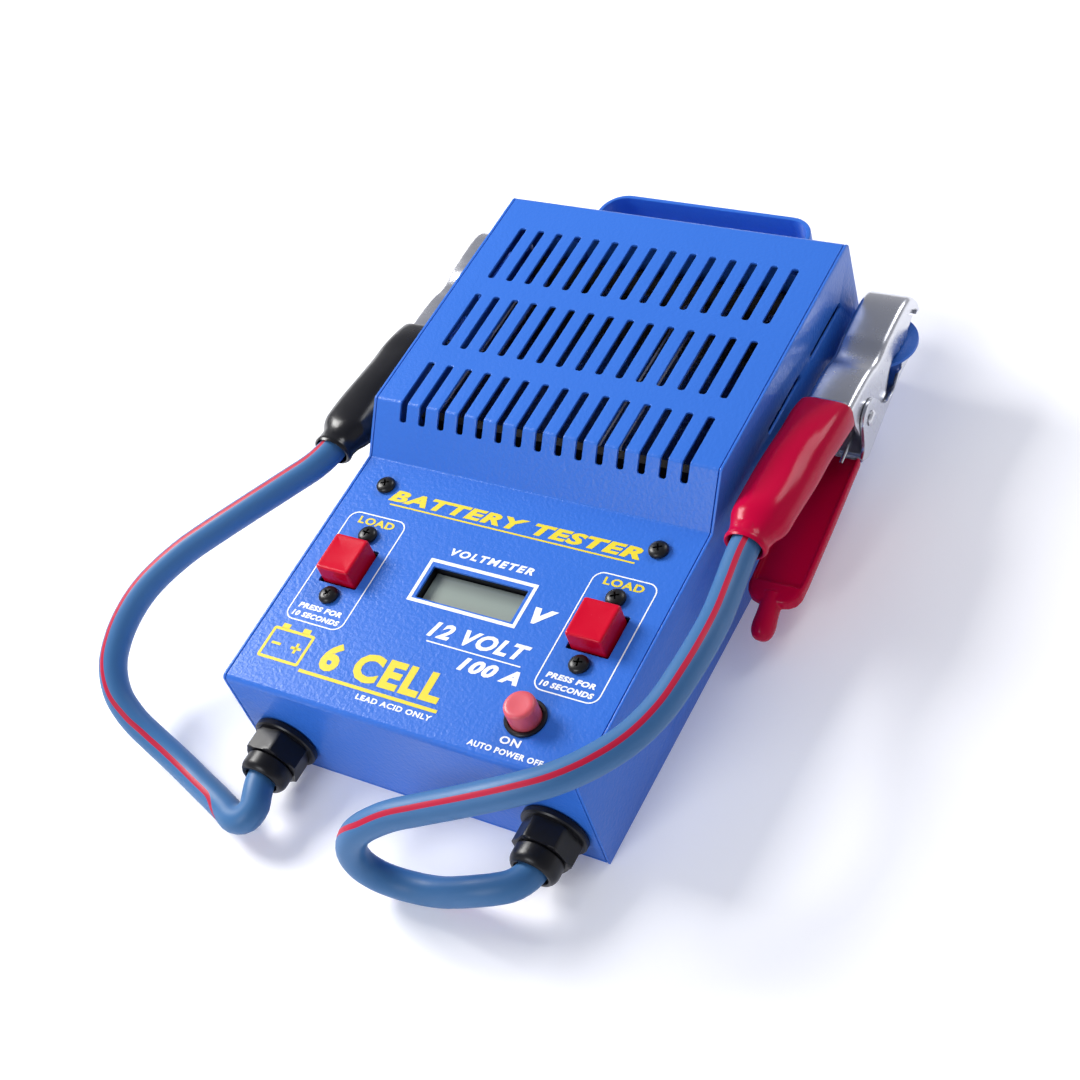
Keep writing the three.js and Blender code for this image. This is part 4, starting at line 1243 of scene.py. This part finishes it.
def makeUpperSleeve(label, side, material):
    # dipped grip: softer corners towards the mouth, rolled lip, hollow all the way
    outer = [(190.2, 10.9, 43.3, 57.4, 0.48), (189.4, 11.3, 42.8, 58.2, 0.54), (186, 11.6, 43.1, 59.5, 0.62),
             (181, 11.8, 43.5, 60.9, 0.68), (176, 11.9, 43.9, 61.8, 0.74), (170, 12.0, 44.4, 62.6, 0.78),
             (165, 12.0, 44.9, 63.1, 0.80), (155, 12.0, 46.0, 64.0, 0.83), (147, 12.0, 46.7, 64.5, 0.85),
             (138, 12.0, 47.5, 65.2, 0.86), (131, 12.1, 48.0, 65.7, 0.87), (126.5, 12.0, 48.2, 65.9, 0.88),
             (123.6, 11.3, 48.7, 65.8, 0.90), (121.4, 10.2, 49.6, 65.2, 0.92), (119.6, 9.2, 50.3, 64.7, 0.94),
             (117, 8.6, 50.7, 64.5, 0.96), (114.8, 8.5, 50.7, 64.8, 0.98), (113.6, 8.9, 50.3, 65.3, 1.0),
             (112.4, 8.9, 50.3, 65.3, 1.0), (111.6, 8.3, 50.8, 64.9, 1.0)]
    inner = [(111.5, 7.4, 51.0, 65.0, 1.0), (112.4, 6.7, 51.3, 64.9, 1.0), (116, 6.4, 51.7, 64.8, 1.0),
             (124, 6.7, 51.6, 64.6, 0.95), (129, 9.2, 51.6, 64.0, 0.5), (147, 9.9, 49.5, 62.0, 0.34),
             (176, 9.9, 45.8, 59.5, 0.30), (186, 9.9, 44.6, 57.9, 0.28), (190, 9.8, 44.1, 56.6, 0.26)]
    rings = [dentedOval(w, low, high, y, side, power) for y, w, low, high, power in outer]
    rings += [squareOval(w, low, high, y, side, power) for y, w, low, high, power in inner]
    rings.append(rings[0])
    verts, faces = skin(rings, caps=False)
    obj = finishMesh("grip_top_" + label, verts, faces, material, 60)
    modify(obj, "rounder", "SUBSURF", levels=1, render_levels=1)
    return settle(obj, 60)


def makeLowerSleeve(label, side, material):
    # dipped lever grip: shallow trough with a closed rounded end and a drip nib
    x0 = side * clamp["x"]
    outer = [(189, 10.9, 23.1, 28.4), (188, 11.2, 22.8, 28.4), (176, 11.3, 21, 26.6), (160, 11.5, 18.5, 24.2),
             (140, 11.5, 15.4, 20.8), (130, 11.5, 13.8, 19.5), (124, 11.3, 12.9, 19.3),
             (121, 10.2, 12.9, 19.1), (119, 8.2, 13.4, 18.6), (118, 5.8, 14.1, 17.9)]
    rings = [squareOval(w, low, high, y, side, 0.34, 40) for y, w, low, high in outer]
    verts, faces = skin(rings)
    shell = finishMesh("gripShell", verts, faces, material, 60)
    loop = [(192, 26.7), (189, 26.2), (130.3, 17.1), (127.5, 16.9), (126.2, 18), (126, 40), (192, 40)]
    hollow = flatPlate("gripHollow", [loop], 19.6, 0.8, material, acrossClamp(x0))
    slope = 0.42
    place = matrixFrom(Vector((1, 0, 0)), Vector((0, -math.sin(slope), math.cos(slope))),
                       Vector((0, -math.cos(slope), -math.sin(slope))), at(x0, 120.5, 15.4))
    profile = [(0, -3), (4.0, -3), (4.3, 0), (4.35, 4), (4.5, 7), (4.8, 10), (4.75, 12.2), (4.3, 14.2),
               (3.3, 15.9), (1.8, 16.8), (0, 17)]
    nib = turned("gripNib", profile, material, place, 40)
    carve(shell, [hollow])
    obj = joinAll("grip_bottom_" + label, [shell, nib])
    modify(obj, "melt", "REMESH", mode="VOXEL", voxel_size=0.00042)
    modify(obj, "soften", "SMOOTH", factor=0.5, iterations=10)
    return settle(obj, 80)


for label, side in sides:
    vinyl = redVinyl if side > 0 else blackVinyl
    tone = "red_dip" if side > 0 else "black_dip"
    rows = [
        (makeUpperJaw(label, side), "clamp_upper_jaw_", "zinc_steel", "case"),
        (makeLowerJaw(label, side), "clamp_lower_jaw_", "zinc_steel", "clamp_lever_" + label),
        (makeRivet(label, side), "clamp_rivet_", "zinc_steel", "case"),
        (makeSpring(label, side), "clamp_spring_", "zinc_steel", "case"),
        (makeUpperSleeve(label, side, vinyl), "clamp_upper_sleeve_", tone, "case"),
        (makeLowerSleeve(label, side, vinyl), "clamp_lower_sleeve_", tone, "clamp_lever_" + label),
    ]
    for piece, node, slotName, body in rows:
        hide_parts(node + label)
        if node == "clamp_spring_":
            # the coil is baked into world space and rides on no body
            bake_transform(piece)
        else:
            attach(piece, body)

for label, side in sides:
    obj, line, length = leadPieces[label]

print("stage 10: floor and light")


def makeFloor(half=12):
    verts = [(-half, -half, 0), (half, -half, 0), (half, half, 0), (-half, half, 0)]
    return finishMesh("floor", verts, [(0, 1, 2, 3)], paper, 30)


makeFloor()

lamps = [
    {"name": "window", "place": (-1.15, 0.10, 0.95), "aim": (0.0, 0.0, 0.03), "size": 0.6, "watts": 26,
     "colour": (1.0, 0.99, 0.97)},
    {"name": "front", "place": (-0.25, -1.25, 0.85), "aim": (0.0, 0.0, 0.03), "size": 0.6, "watts": 8,
     "colour": (0.95, 0.97, 1.0)},
    {"name": "rear", "place": (0.45, 1.05, 0.95), "aim": (0.0, 0.05, 0.07), "size": 0.5, "watts": 5.5,
     "colour": (0.97, 0.98, 1.0)},
]


def makeLamp(spec):
    data = bpy.data.lights.new(spec["name"], "AREA")
    setAll(data, {"energy": spec["watts"], "size": spec["size"], "color": spec["colour"]})
    obj = newObject(spec["name"], data)
    obj.location = spec["place"]
    obj.rotation_euler = (Vector(spec["aim"]) - Vector(spec["place"])).to_track_quat("-Z", "Y").to_euler()


for lamp in lamps:
    makeLamp(lamp)

world = bpy.data.worlds.new("studio")
bpy.context.scene.world = world
world.use_nodes = True


def skyShade(tree):
    # white round the horizon, dimmer overhead, a little lavender
    way = add(tree, "ShaderNodeTexCoord", {}).outputs["Generated"]
    height = add(tree, "ShaderNodeSeparateXYZ", {0: way}).outputs["Z"]
    shade = ramp(tree, height, [(0.0, (0.95, 0.95, 1.0)), (0.88, (0.36, 0.38, 0.46))])
    feed(tree, tree.nodes["Background"], {"Color": shade, "Strength": 0.53})


skyShade(world.node_tree)
bpy.context.scene.view_settings.view_transform = "Standard"
